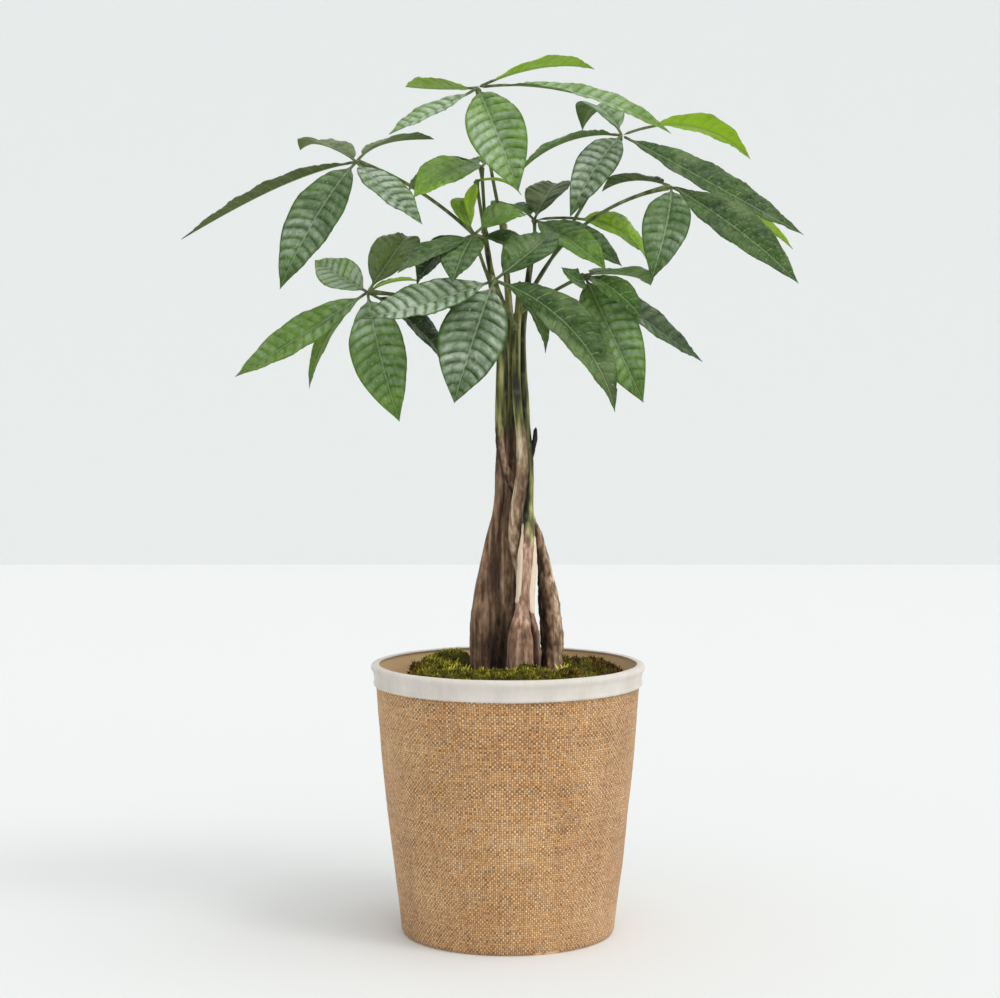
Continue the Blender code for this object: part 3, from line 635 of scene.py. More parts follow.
def make_trunk(trunk, order, material):
    """A stem with ridged bark below and smooth green wood with leaf scars above."""
    length = sum(math.dist(a[:3], b[:3]) for a, b in zip(trunk.line, trunk.line[1:]))
    rows = round(length / TRUNK_ROW_SPACING)
    steps = np.arange(rows + 1)
    values = smooth_line(trunk.line, steps / rows)
    centres, radii = values[:, :3], values[:, 3]
    way_out = ways_out(centres, (0, 1, 0))
    ends = np.minimum(steps, rows - steps) * TRUNK_ROW_SPACING
    rounding = np.sqrt(np.clip(1 - (1 - ends / radii) ** 2 * (ends < radii), 0, 1))
    front = trunk.name == "trunk_front"
    middle = trunk.name == "trunk_middle"

    def lay(column, row):
        i = row.astype(int)
        out = way_out(i, TURN * column / TRUNK_COLUMNS)
        radius = radii[i]
        skin = centres[i] + out * radius[:, None]
        height = skin[:, 2]
        bearing = np.degrees(np.arctan2(out[:, 1], out[:, 0]))
        ragged = 9 * noise_at(skin, (3, 3, 12), order)
        green = smooth_step(-GREEN_FADE, GREEN_FADE, height - trunk.green_from + ragged)
        ridges = noise_at(skin, (2.6, 2.6, 30), order + 1)
        flakes = noise_at(skin, (2.2, 2.2, 6), order + 2)
        lumps = noise_at(skin, (6, 6, 11), order + 3)
        fine = noise_at(skin, (1.1, 1.1, 3.2), order + 4)
        stepped = np.round(flakes * 3) / 3
        scars = np.exp(-((np.mod(height + 5 * order, SCAR_SPACING) - 10) ** 2) / 2.2)
        peel = front * peeled(bearing, height + 3 * flakes)
        crack = front * split(bearing, height)
        ridge = middle * welt(bearing, height)
        bark = 0.4 * ridges + trunk.rough * (0.6 * stepped + 0.7 * lumps + 0.4 * fine)
        wood = 0.16 * scars + 0.4 * ridges + 0.2 * flakes
        relief = (bark * (1 - green) + wood * green) * np.clip(radius / 7, 0.45, 1.1)
        grown = 0.9 * relief + 0.9 * peel - 2.6 * crack + 0.6 * ridge
        # Painted light: each trunk is painted paler towards its sunny bearing and darker on the far side.
        bark_tone_with_painted_light = trunk.tone + trunk.paler * np.cos(np.radians(bearing - trunk.sunny))
        # The welt is painted paler as a highlight, and each foot is painted darker as shade down by the
        # soil.
        bark_tone_with_painted_light += 0.24 * ridge - trunk.foot * smooth_step(205, 160, height)
        # Painted shade: the colour darkens in the recesses of bark and wood, and deep in the front trunk's
        # crack.
        surface = 0.5 * ridges + trunk.rough * (0.35 * stepped + 0.2 * lumps + 0.4 * fine)
        surface = surface * (1 - green) + ridges * green - 1.4 * crack
        layers = {
            "bark": triples(bark_tone_with_painted_light, trunk.pink, green),
            "relief": triples(surface, peel, scars * green),
        }
        return centres[i] + out * ((radius + grown) * rounding[i])[:, None], layers

    piece = laid_grid(trunk.name + "_fine", TRUNK_COLUMNS, rows, lay)
    if front:
        piece = join([piece, make_bud_stub()], piece.name)
    close_seams(piece)
    finish_piece(piece, material, 60)


def make_bud_stub():
    """Dark dry stub of a shed leaf stalk."""
    values = smooth_line(STUB_LINE, np.arange(STUB_SIDES + 1) / STUB_SIDES)

    def lay(column, row):
        i = row.astype(int)
        angle = TURN * column / STUB_SIDES
        radius = values[i, 3] * (1 + 0.2 * np.sin(3 * angle + row)) * (i > 0) * (i < STUB_SIDES)
        ring = triples(np.cos(angle), np.sin(angle), 0)
        return values[i, :3] + ring * radius[:, None], {"bark": (-0.2, 0, 0.3), "relief": (-0.5, 0, 0)}

    return laid_grid("bud_stub", STUB_SIDES, STUB_SIDES, lay)


# Moss and soil


def moss_place(angle, share, reach, phase):
    """Level place on a pad at a bearing and a share of the way from its hole to its edge."""
    direction = np.stack((np.cos(angle), np.sin(angle)), 1)
    hole = 1 / np.hypot(direction[:, 0] / MOSS_HOLE[0], direction[:, 1] / MOSS_HOLE[1])
    middle = np.array(MOSS_CENTRE)
    offset = direction @ middle
    outer = np.sqrt(offset**2 + reach**2 - middle @ middle) - offset
    outer -= MOSS_RAGGED * (1 + np.sin(4 * angle + phase)) / 2
    return middle + direction * (hole + (outer - hole) * share)[:, None]


def moss_top(angle, share, reach, height, phase):
    """Points on top of a pad: low at both edges, with soft lumps and small hollows between."""
    dome = np.sin(math.pi * np.clip(0.12 + 0.88 * share, 0, 0.9999)) ** 0.6
    lumps = 1.6 * np.sin(5 * angle + phase) + 1.2 * np.sin(9 * angle + 2 * phase + 4 * share)
    rise = np.maximum(MOSS_EDGE, height * (0.45 + 0.55 * dome) + lumps * dome)
    points = np.column_stack((moss_place(angle, share, reach, phase), MOSS_LOW + rise))
    points[:, 2] += 2.5 * (noise_at(points, 6, phase) + 0.6 * noise_at(points, 2, phase)) - 2.0
    return points


def make_moss_mat(name, start, end, reach, height, phase):
    """The matted base of a pad, a closed lumpy body."""
    columns, top_rows, rows = 64, 26, 34
    first, last = math.radians(start), math.radians(end)

    def lay(column, row):
        angle = first + (last - first) * np.clip((column - 1) / (columns - 2), 0, 1)
        share = np.where(row <= top_rows, row / top_rows, 1 - (row - top_rows) / (rows - top_rows))
        points = moss_top(angle, share, reach, height, phase)
        points[(row > top_rows) & (row < rows), 2] = MOSS_LOW
        capped = (column == 0) | (column == columns)
        points[capped, :2] = moss_place(angle, 0.5, reach, phase)[capped]
        points[capped, 2] = MOSS_LOW + height * 0.4
        # The mat is painted dark, as shade under the shoots.
        return points, {"shoot": (0.3, 0.5, 0.22)}

    return laid_grid(name, columns, rows, lay)


def make_shoot():
    """One moss shoot: a whorl of slim pointed leaves, modelled at full size at the origin."""
    blades = []
    for blade in range(SHOOT_BLADES):
        size = SHOOT_HEIGHT * (1.0 if blade % 2 else 0.72) * MM
        pick()
        bpy.ops.mesh.primitive_cone_add(
            vertices=3,
            radius1=SHOOT_RADIUS * MM,
            radius2=0,
            depth=size,
            end_fill_type="NGON",
            location=(0, 0, size / 2),
        )
        blades.append(bpy.context.object)
        edit_all(blades[-1])
        bpy.ops.transform.resize(value=(1.0, 0.36, 1.0), center_override=(0, 0, 0))
        lean = math.radians(18 + 19 * (blade % 3))
        for axis, turn in (("X", lean), ("Z", TURN * blade / SHOOT_BLADES)):
            bpy.ops.transform.rotate(value=turn, orient_axis=axis, center_override=(0, 0, 0))
        leave_edit()
    return join(blades, "moss_shoot")


def random_turns(chance, count):
    """Turn matrices: a random bearing, then a random lean about a random level line."""
    draws = [chance.uniform(0, most, count) for most in (TURN, SHOOT_LEAN, TURN)]
    turns = []
    for bearing, lean, heading in zip(*draws):
        level = Vector((math.cos(heading), math.sin(heading), 0))
        turns.append(Matrix.Rotation(lean, 3, level) @ Matrix.Rotation(bearing, 3, "Z"))
    return np.array(turns, float)


def copies_of(model, name, places, turns, sizes, looks):
    """One mesh with a copy of a shoot at each place; each is painted darker towards its foot, as shade."""
    shape = points_of(model.data)
    faces = [list(face.vertices) for face in model.data.polygons]
    points = np.einsum("nij,vj->nvi", turns, shape) * sizes[:, None, None] + places[:, None, :]
    starts = range(0, len(places) * len(shape), len(shape))
    every = [[corner + start for corner in face] for start in starts for face in faces]
    mesh = bpy.data.meshes.new(name)
    mesh.from_pydata((points.reshape(-1, 3) * MM).tolist(), [], every)
    looks = np.repeat(looks, len(shape), axis=0)
    # Painted shade: each shoot darkens towards its foot.
    looks[:, 2] *= np.tile(0.3 + 0.7 * shape[:, 2] / shape[:, 2].max(), len(places))
    set_layer(mesh, "shoot", looks)
    return placed(bpy.data.objects.new(name, mesh))


def shoot_looks(chance, places):
    """Tone, dryness and painted light or shade of each shoot: dark at the left, brown at the far right."""
    count = len(places)
    x, y, _ = places.T
    patch = noise_at(places, 9, 3.0)
    tuft = noise_at(places, 4.5, 12.0)
    right = smooth_step(20, 62, x)
    left = smooth_step(-20, -45, x)
    sunny = smooth_step(11, 3, np.hypot(x + 27, y + 24))
    tone = 0.48 + 0.5 * patch + 0.6 * tuft + chance.normal(0, 0.11, count)
    tone += 0.6 * sunny - 0.05 * left - 0.15 * right
    dry = 0.3 + 0.5 * noise_at(places, 7, 8.0) + 0.5 * right - 0.3 * left + 0.9 * smooth_step(-47, -56, x)
    # The third number is painted light and shade: how brightly each shoot is lit, at random.
    return triples(np.clip(tone, 0, 1), np.clip(dry, 0, 1), chance.uniform(0.35, 1, count))


def make_moss(pad, shoot, material):
    """A pad of moss: its mat and the shoots that stand on it."""
    name, start, end, reach, height, phase = pad
    mat = make_moss_mat(name + "_mat", *pad[1:])
    chance = np.random.default_rng(int(phase * 100))
    sweep = math.radians(end - start)
    count = int(sweep * (reach**2 - MOSS_BARE_RADIUS**2) / 2 * SHOOTS_PER_MM2)
    angle = math.radians(start) + sweep * chance.uniform(0, 1, count)
    share = np.clip(np.sqrt(chance.uniform(0, 1, count) * 1.12 + 0.02), 0, 1.03)
    places = moss_top(angle, np.clip(share, 0, 1), reach, height, phase)
    places[:, 2] -= SHOOT_SINK + smooth_step(0.9, 1.02, share) * chance.uniform(0, 4, count)
    tuft = noise_at(places, 4.5, phase + 5)
    sizes = chance.uniform(0.6, 1.05, count) * (1 + 0.6 * np.clip(tuft, -1, 1))
    turns = random_turns(chance, count)
    looks = shoot_looks(chance, places)
    for size, x, y, tone in SPRIGS if name == "moss_front" else ():
        spot = np.argmin(np.hypot(places[:, 0] - x, places[:, 1] - y))
        sizes[spot], turns[spot], looks[spot] = size, np.eye(3), (tone, 0.2, 1.0)
    shoots = copies_of(shoot, name + "_shoots", places, turns, sizes, looks)
    piece = join([mat, shoots], name + "_fine")
    close_seams(piece)
    finish_piece(piece, material, None)


def pot_radius(z):
    share = (z - BASE_THICKNESS) / (POT_TOP - BASE_THICKNESS)
    return POT_BASE_RADIUS + (POT_RIM_RADIUS - POT_BASE_RADIUS) * share


def make_soil(material):
    """Soil with a crumbly top, level with the grower's pot."""
    columns, side_rows, rows = 128, 12, 62
    floor = POT_FLOOR + 2.1

    def lay(column, row):
        angle = TURN * column / columns
        z = floor + (POT_TOP - floor) * np.clip((row - 1) / (side_rows - 1), 0, 1)
        inward = np.clip((row - side_rows) / (rows - side_rows), 0, 1)
        radius = pot_radius(z) - POT_WALL - SOIL_CLEARANCE - 2.5 * (row <= 1)
        radius = radius * (1 - inward) * (row > 0)
        points = triples(radius * np.cos(angle), radius * np.sin(angle), z)
        crumbs = noise_at(points, 5, 2.0) + 0.8 * noise_at(points, 1.9, 4.0)
        top = (row >= side_rows) * (1 - smooth_step(0.97, 1.0, inward))
        points[:, 2] += top * (1.5 * crumbs - 1.4)
        return points, {}

    piece = laid_grid("potting_soil_fine", columns, rows, lay)
    close_seams(piece)
    finish_piece(piece, material, 60)


# Pot cover and grower's pot


def turned(name, profile, sides, filled=False):
    """Turn a profile of (radius, height) points: a circle, extruded and widened step by step."""
    radius, z = profile[0]
    pick()
    bpy.ops.mesh.primitive_circle_add(
        vertices=sides,
        radius=radius * MM,
        fill_type="NGON" if filled else "NOTHING",
        location=(0, 0, z * MM),
    )
    piece = bpy.context.object
    piece.name = name
    bpy.ops.object.transform_apply(location=True)
    edit_all(piece)
    extrude = bpy.ops.mesh.extrude_region_move if filled else bpy.ops.mesh.extrude_edges_move
    for (radius, z), (next_radius, next_z) in zip(profile, profile[1:]):
        extrude(TRANSFORM_OT_translate={"value": (0, 0, (next_z - z) * MM)})
        grow = next_radius / radius
        bpy.ops.transform.resize(value=(grow, grow, 1), center_override=(0, 0, next_z * MM))
    bpy.ops.mesh.select_all(action="SELECT")
    bpy.ops.mesh.normals_make_consistent(inside=False)
    leave_edit()
    return piece


def cover_radius(z):
    """Outer radius of the burlap wall at a height, nearly straight with a slight belly."""
    t = z / COVER_HEIGHT
    straight = COVER_BASE_RADIUS + (COVER_RIM_RADIUS - COVER_BASE_RADIUS) * t
    return straight + COVER_BELLY * np.sin(math.pi * t)


def round_place(points):
    """Bearing of each point from the pot's axis, and how far out it is."""
    return np.arctan2(points[:, 1], points[:, 0]), np.hypot(points[:, 0], points[:, 1])


def wrapped_map(piece, radius, lean=0.0):
    """Give a turned piece a map in metres, round it and up it, with no jump at its seam."""
    mesh = piece.data
    layer = mesh.uv_layers.active or mesh.uv_layers.new()
    layer.name = "cloth"
    corner = read(mesh.loops, "vertex_index", 1, np.int32)[:, 0]
    totals = read(mesh.polygons, "loop_total", 1, np.int32)[:, 0]
    face = np.repeat(np.arange(len(totals)), totals)
    points = points_of(mesh)[corner]
    turn, away = round_place(points)
    top = np.full(len(totals), -10.0)
    np.maximum.at(top, face, turn)
    turn = np.where(top[face] - turn > math.pi, turn + TURN, turn)
    flat = np.stack((turn * radius, points[:, 2] - lean * away), 1) * MM
    layer.uv.foreach_set("vector", flat.astype(np.float32).ravel())


def soft_at(points):
    """How far the burlap stands in or out of its true round, here and there."""
    return 0.55 * noise_at(points, (34, 34, 42), 1.0) + 0.22 * noise_at(points, (11, 11, 15), 2.0)


def make_burlap_wall(material):
    """The cover's side: one strip of burlap, soft and uneven, lapped and sewn at the back."""
    top = COVER_HEIGHT - BAND_THICKNESS - BAND_CLEARANCE
    low, high = cover_radius(0), cover_radius(top)
    heights = [HEM_RADIUS + (top - HEM_RADIUS) * step / COVER_STEPS for step in range(COVER_STEPS + 1)]
    profile = [(low - HEM_RADIUS * 0.6, 0.0), (low - HEM_RADIUS * 0.2, HEM_RADIUS * 0.3)]
    piece = turned("burlap_wall_fine", profile + [(cover_radius(z), z) for z in heights], COVER_SIDES * 2)
    points = points_of(piece.data)
    turn, away = round_place(points)
    height = points[:, 2]
    free = smooth_step(0, 12, height) * smooth_step(top, top - 16, height)
    lap = LAP_RISE * smooth_step(7.5, 6.0, turn_between(turn, LAP_BEARING, TURN) * COVER_RIM_RADIUS)
    lap = lap * smooth_step(0, 4, height) * smooth_step(top - 10, top - 15, height)
    points[:, :2] *= (1 + (soft_at(points) * free + lap) / away)[:, None]
    set_points(piece.data, points)
    apply_modifier(piece, "SOLIDIFY", thickness=BURLAP * MM, offset=-1)
    points = points_of(piece.data)
    middle = cover_radius(points[:, 2]) - BURLAP * 0.6 + soft_at(points)
    set_layer(piece.data, "inside", triples(round_place(points)[1] < middle, 0, 0))
    wrapped_map(piece, (COVER_BASE_RADIUS + COVER_RIM_RADIUS) / 2)
    finish_piece(piece, material)


def make_burlap_base(material):
    """Round floor of the cover, laid inside the hem."""
    edge = cover_radius(0) - HEM_RADIUS * 0.6 - BURLAP - 0.4
    profile = ((edge - 0.5, 0.0), (edge, 0.6), (edge, BASE_THICKNESS - 0.6), (edge - 0.5, BASE_THICKNESS))
    piece = turned("burlap_base_fine", profile, COVER_SIDES, filled=True)
    finish_piece(piece, material)


def make_rim_band(material):
    """Cotton binding folded over the rim: a full lip, a flatter face and a turned hem."""
    low = COVER_HEIGHT - BAND_HEIGHT
    wall = cover_radius(COVER_HEIGHT)
    outside = wall + BAND_CLEARANCE + BAND_THICKNESS * 1.2 + LIP_FLARE
    inside = wall - BURLAP - BAND_CLEARANCE - BAND_THICKNESS
    middle = (outside + inside) / 2
    half = (outside - inside) / 2
    proud = BAND_CLEARANCE + BAND_THICKNESS
    profile = [(cover_radius(low + up) + proud + out, low + up) for out, up in BAND_FACE]
    profile.append((outside, COVER_HEIGHT - half - 0.6))
    for step in range(1, LIP_STEPS):
        angle = math.pi * step / LIP_STEPS
        drop = half if angle < math.pi / 2 else LIP_INNER_DROP
        rise = drop * math.sin(angle) ** 0.8
        profile.append((middle + half * math.cos(angle), COVER_HEIGHT - drop + rise))
    profile.append((inside, COVER_HEIGHT - LIP_INNER_DROP - 0.3))
    piece = turned("rim_band_fine", profile, COVER_SIDES * 3)
    points = points_of(piece.data)
    turn, away = round_place(points)
    out = points[:, :2] / away[:, None]
    creases = noise_at(points, (8, 8, 30), 5.0)
    soft = noise_at(points, 26, 6.0)
    lap = JOIN_RISE * smooth_step(6.6, 5.8, turn_between(turn, JOIN_BEARING, TURN) * COVER_RIM_RADIUS)
    below_lip = smooth_step(COVER_HEIGHT - 1, COVER_HEIGHT - 4, points[:, 2])
    grow = (0.12 * creases + 0.22 * soft + lap) * np.sign(away - middle) * below_lip
    points[:, :2] += out * grow[:, None]
    points[:, 2] += 0.3 * soft * (1 - below_lip)
    set_points(piece.data, points)
    apply_modifier(piece, "SOLIDIFY", thickness=BAND_THICKNESS * 0.7 * MM, offset=-1)
    wrapped_map(piece, COVER_RIM_RADIUS, lean=1.0)
    finish_piece(piece, material, 50)


def make_nursery_pot(material):
    """Thin moulded pot with a beaded lip, two shallow steps in its wall and drain holes."""
    profile = [(pot_radius(z) + out, z + up) for z, out, up in POT_PROFILE]
    piece = turned("nursery_pot_fine", profile, COVER_SIDES, filled=True)
    drills = []
    for hole in range(DRAIN_HOLES):
        angle = TURN * (hole + DRAIN_START) / DRAIN_HOLES
        x, y = DRAIN_CIRCLE * math.cos(angle) * MM, DRAIN_CIRCLE * math.sin(angle) * MM
        pick()
        bpy.ops.mesh.primitive_cylinder_add(
            vertices=24, radius=DRAIN_RADIUS * MM, depth=8 * MM, location=(x, y, POT_FLOOR * MM)
        )
        drills.append(bpy.context.object)
    drill = join(drills, "drain_drill")
    apply_modifier(piece, "BOOLEAN", operation="DIFFERENCE", solver="EXACT", object=drill)
    bpy.data.objects.remove(drill)
    finish_piece(piece, material)


# Materials


def sign(operation, swapped=False):
    """An arithmetic sign between values, which adds a Math node."""

    def put(self, other=0.0):
        first, second = (other, self) if swapped else (self, other)
        return node(self.tree, "Math", {0: first, 1: second}, operation=operation)

    return put


class Value:
    """A number, colour or place that varies over a surface; sums and products of it are nodes."""

    def __init__(self, socket):
        self.socket = socket
        self.tree = socket.id_data

    __add__ = __radd__ = sign("ADD")
    __sub__, __rsub__ = sign("SUBTRACT"), sign("SUBTRACT", swapped=True)
    __mul__ = __rmul__ = sign("MULTIPLY")
    __rtruediv__ = sign("DIVIDE", swapped=True)
    __pow__, __abs__ = sign("POWER"), sign("ABSOLUTE")
    __gt__, __lt__ = sign("GREATER_THAN"), sign("LESS_THAN")
    most, least = sign("MAXIMUM"), sign("MINIMUM")
    sine, side, floor, fraction = sign("SINE"), sign("SIGN"), sign("FLOOR"), sign("FRACT")


def feed(made, inputs):
    """Give a node's inputs their values or links."""
    for key, value in inputs.items():
        socket = made.inputs[key]
        if isinstance(value, Value):
            made.id_data.links.new(value.socket, socket)
        else:
            socket.default_value = (*value, 1.0) if socket.type == "RGBA" else value


def node(tree, kind, inputs=None, out=0, **settings):
    """Add a shader node, with its settings and inputs, and read one of its outputs."""
    made = tree.nodes.new("ShaderNode" + kind)
    for key, value in settings.items():
        setattr(made, key, value)
    feed(made, inputs or {})
    return Value(made.outputs[out])


def outputs_of(value):
    """All the outputs of the node that a value comes from."""
    return [Value(output) for output in value.socket.node.outputs]


def blend(share, a, b, how="MIX"):
    """Mix two colours."""
    tree = next(value.tree for value in (share, a, b) if isinstance(value, Value))
    return node(tree, "Mix", {0: share, 6: a, 7: b}, 2, data_type="RGBA", blend_type=how)


def span(value, low, high, to_low=0.0, to_high=1.0):
    """Bring a value between two bounds to a smooth 0 to 1, or to other bounds."""
    inputs = {"Value": value, "From Min": low, "From Max": high, "To Min": to_low, "To Max": to_high}
    return node(value.tree, "MapRange", inputs, interpolation_type="SMOOTHSTEP")


def ramp(value, *stops):
    """A run of colours, each given as its place from 0 to 1 and its red, green and blue."""
    made = node(value.tree, "ValToRGB", {0: value})
    elements = made.socket.node.color_ramp.elements
    while len(elements) < len(stops):
        elements.new(0.5)
    for element, (place, *colour) in zip(elements, stops):
        element.position = place
        element.color = (*colour, 1.0)
    return made


def cloud(place, scale, detail=3.0, roughness=0.5, out=0):
    """Soft noise, with its scale in features a metre."""
    inputs = {"Vector": place, "Scale": scale, "Detail": detail, "Roughness": roughness}
    return node(place.tree, "TexNoise", inputs, out)


def parts(vector):
    return outputs_of(node(vector.tree, "SeparateXYZ", {0: vector}))


def joined(x, y, z=0.0):
    return node(x.tree, "CombineXYZ", {0: x, 1: y, 2: z})


def shifted(a, operation, b):
    """Add, subtract or scale whole places."""
    key = 3 if operation == "SCALE" else 1
    return node(a.tree, "VectorMath", {0: a, key: b}, operation=operation)


def stretched(place, scale):
    return node(place.tree, "Mapping", {"Vector": place, "Scale": scale})


def layer_parts(tree, name):
    """The three numbers of a layer stored on the mesh."""
    return parts(node(tree, "Attribute", out="Vector", attribute_name=name))


def object_place(tree):
    return node(tree, "TexCoord", out="Object")


def cloth_place(tree):
    return node(tree, "UVMap", uv_map="cloth")


def new_material(name):
    material = bpy.data.materials.new(name)
    material.use_nodes = True
    return material, material.node_tree


def finished(material, colour, roughness, height, strength, depth, **sockets):
    """Link a finish to the shader: colour, roughness and the height that its bump reads."""
    shader = material.node_tree.nodes["Principled BSDF"]
    bump = node(shader.id_data, "Bump", {"Height": height, "Strength": strength, "Distance": depth})
    feed(shader, {"Base Color": colour, "Roughness": roughness, "Normal": bump})
    feed(shader, {key.replace("_", " "): value for key, value in sockets.items()})
    return material


def group_tree(name, inputs, outputs):
    """A new node group with named inputs and outputs; its place is a vector and the rest numbers."""
    group = bpy.data.node_groups.new(name, "ShaderNodeTree")
    for side, labels in (("INPUT", inputs), ("OUTPUT", outputs)):
        for label in labels:
            kind = "NodeSocketVector" if label == "Place" else "NodeSocketFloat"
            group.interface.new_socket(label, in_out=side, socket_type=kind)
    given = [Value(socket) for socket in group.nodes.new("NodeGroupInput").outputs][: len(inputs)]
    return group, given, group.nodes.new("NodeGroupOutput")


def from_group(tree, name, inputs):
    """Put a shared group in a material and read all its outputs."""
    return outputs_of(node(tree, "Group", inputs, node_tree=bpy.data.node_groups[name]))


def make_weave_group():
    """Threads that cross over and under, each with its own shade and its own thick places."""
    tree, (place, pitch, wander), result = group_tree(
        "plain_weave", ("Place", "Pitch", "Wander"), ("Height", "Thread", "Gap", "Slub", "Over", "Knot")
    )
    sway = shifted(cloud(place, 70.0, 2.0, out="Color"), "SUBTRACT", (0.5, 0.5, 0.5))
    counted = shifted(place, "SCALE", 1.0 / pitch)
    across, along, _ = parts(shifted(counted, "ADD", shifted(sway, "SCALE", wander)))
    waves = [(axis * math.pi).sine() for axis in (across, along)]
    rounds = [abs(wave) ** 0.6 for wave in waves]
    sides = [wave.side() for wave in waves]
    warp = rounds[0] * (0.5 * sides[0] * waves[1] + 0.5)
    weft = rounds[1] * (-0.5 * sides[1] * waves[0] + 0.5)
    on_top = warp > weft
    numbers = [axis.floor() for axis in (across, along)]
    shades, slubs = [], []
    for number, run, first in ((numbers[0], along, 31.7), (numbers[1], across, 87.1)):
        thread = number + first
        shades.append(node(tree, "TexWhiteNoise", {"W": thread}, "Value", noise_dimensions="1D"))
        slubs.append(cloud(joined(thread * 5.3, run), 0.17, 2.0))
    shade, slub = (
        node(tree, "Mix", {0: on_top, 2: weft_one, 3: warp_one}, data_type="FLOAT")
        for warp_one, weft_one in (shades, slubs)
    )
    knot = node(tree, "TexWhiteNoise", {"Vector": joined(*numbers)}, "Value", noise_dimensions="2D")
    # Gap: where the threads part, which the materials darken as painted shade.
    gap = span(rounds[0].most(rounds[1]), 0.78, 0.5)
    feed(result, {"Height": warp.most(weft), "Thread": shade, "Gap": gap})
    feed(result, {"Slub": slub, "Over": on_top, "Knot": knot})


def make_uneven_group():
    """Cloudy variation at two sizes, for surfaces that have aged unevenly."""
    _, (place, large, small), result = group_tree("uneven", ("Place", "Large", "Small"), ("Cloud", "Grain"))
    feed(result, {"Cloud": cloud(place, large, 3.0, 0.55), "Grain": cloud(place, small, 4.0, 0.6)})


def weave(place, pitch, wander):
    return from_group(place.tree, "plain_weave", {"Place": place, "Pitch": pitch * MM, "Wander": wander})


def marks(place, large, small):
    return from_group(place.tree, "uneven", {"Place": place, "Large": large, "Small": small})


def burlap_material(name, flat=False):
    """Jute in a plain weave, painted darker in its hollows and gaps as shade; inside the cover it is
    painted paler as light falling there, and smoother.
    """
    material, tree = new_material(name)
    place = object_place(tree) if flat else cloth_place(tree)
    height, thread, gap, slub, over, knot = weave(place, THREAD_PITCH, 1.5)
    shadow, grain = marks(object_place(tree), 22.0, 900.0)
    shade = 0.16 * thread + 0.3 * slub + 0.3 * knot + 0.26 * over + 0.5 * shadow + 0.7 * grain - 0.62
    jute = ramp(
        shade,
        (0.1, 0.22, 0.090, 0.026), (0.45, 0.64, 0.345, 0.142),
        (0.75, 0.88, 0.555, 0.265), (1.0, 1.0, 0.82, 0.52),
    )
    # Painted shade: darker brown in the low places between threads, and darker still in the gaps.
    jute_with_hollow_shade = blend(span(height, 0.0, 0.75), (0.42, 0.24, 0.12), jute)
    colour = blend(gap, jute_with_hollow_shade, (0.20, 0.10, 0.045))
    fibre = 0.35 * grain + height
    if not flat:
        # Painted light: the inside of the cover is painted a paler colour, standing in for light falling
        # there.
        inside, _, _ = layer_parts(tree, "inside")
        colour = blend(0.96 * inside, colour, (1.0, 0.68, 0.37))
        fibre = fibre * (1.0 - 0.8 * inside)
    roughness = span(grain, 0.2, 0.8, 0.82, 0.98)
    return finished(material, colour, roughness, fibre, 0.85, 0.0007, Sheen_Weight=0.15)


def cotton_material():
    """Close cotton cloth with soft creases across it, painted lighter and darker along the creases and
    darker in its gaps, as light and shade.
    """
    material, tree = new_material("cotton_band")
    place = cloth_place(tree)
    height, thread, gap, *_ = weave(place, COTTON_PITCH, 0.5)
    shadow, grain = marks(object_place(tree), 60.0, 500.0)
    creased = cloud(stretched(place, (1.0, 0.15, 1.0)), 260.0, 2.0)
    # Painted light and shade: the creases lighten and darken the colour as they rise and sink.
    shade = 0.1 * thread + 0.8 * shadow + 0.2 * creased - 0.07
    cream = ramp(shade, (0.1, 0.58, 0.53, 0.455), (0.5, 0.72, 0.675, 0.61), (0.9, 0.83, 0.79, 0.735))
    # Painted shade in the gaps between threads.
    colour = blend(0.16 * gap, cream, (0.55, 0.50, 0.42))
    roughness = span(grain, 0.2, 0.8, 0.8, 0.95)
    height = 1.5 * creased + 0.25 * height
    return finished(material, colour, roughness, height, 0.5, 0.0003, Sheen_Weight=0.1)


def plastic_material():
    """Dusty dark plastic."""
    material, tree = new_material("pot_plastic")
    shadow, grain = marks(object_place(tree), 30.0, 700.0)
    colour = blend(0.5 * span(shadow, 0.45, 0.75), (0.014, 0.014, 0.013), (0.075, 0.06, 0.045))
    return finished(material, colour, span(shadow, 0.35, 0.7, 0.38, 0.62), grain, 0.25, 0.0002)


def soil_material():
    """Dark crumbs with a few pale bits among them."""
    material, tree = new_material("soil")
    place = object_place(tree)
    shadow, grain = marks(place, 160.0, 1100.0)
    earth = ramp(shadow, (0.3, 0.010, 0.006, 0.004), (0.55, 0.035, 0.02, 0.012), (0.8, 0.09, 0.055, 0.033))
    distance, tint, *_ = outputs_of(node(tree, "TexVoronoi", {"Vector": place, "Scale": 260.0}))
    bits = span(distance, 0.32, 0.2) * (parts(tint)[0] > 0.9)
    colour = blend(bits, earth, (0.55, 0.52, 0.47))
    return finished(material, colour, span(grain, 0.2, 0.8, 0.85, 1.0), grain, 0.9, 0.001)


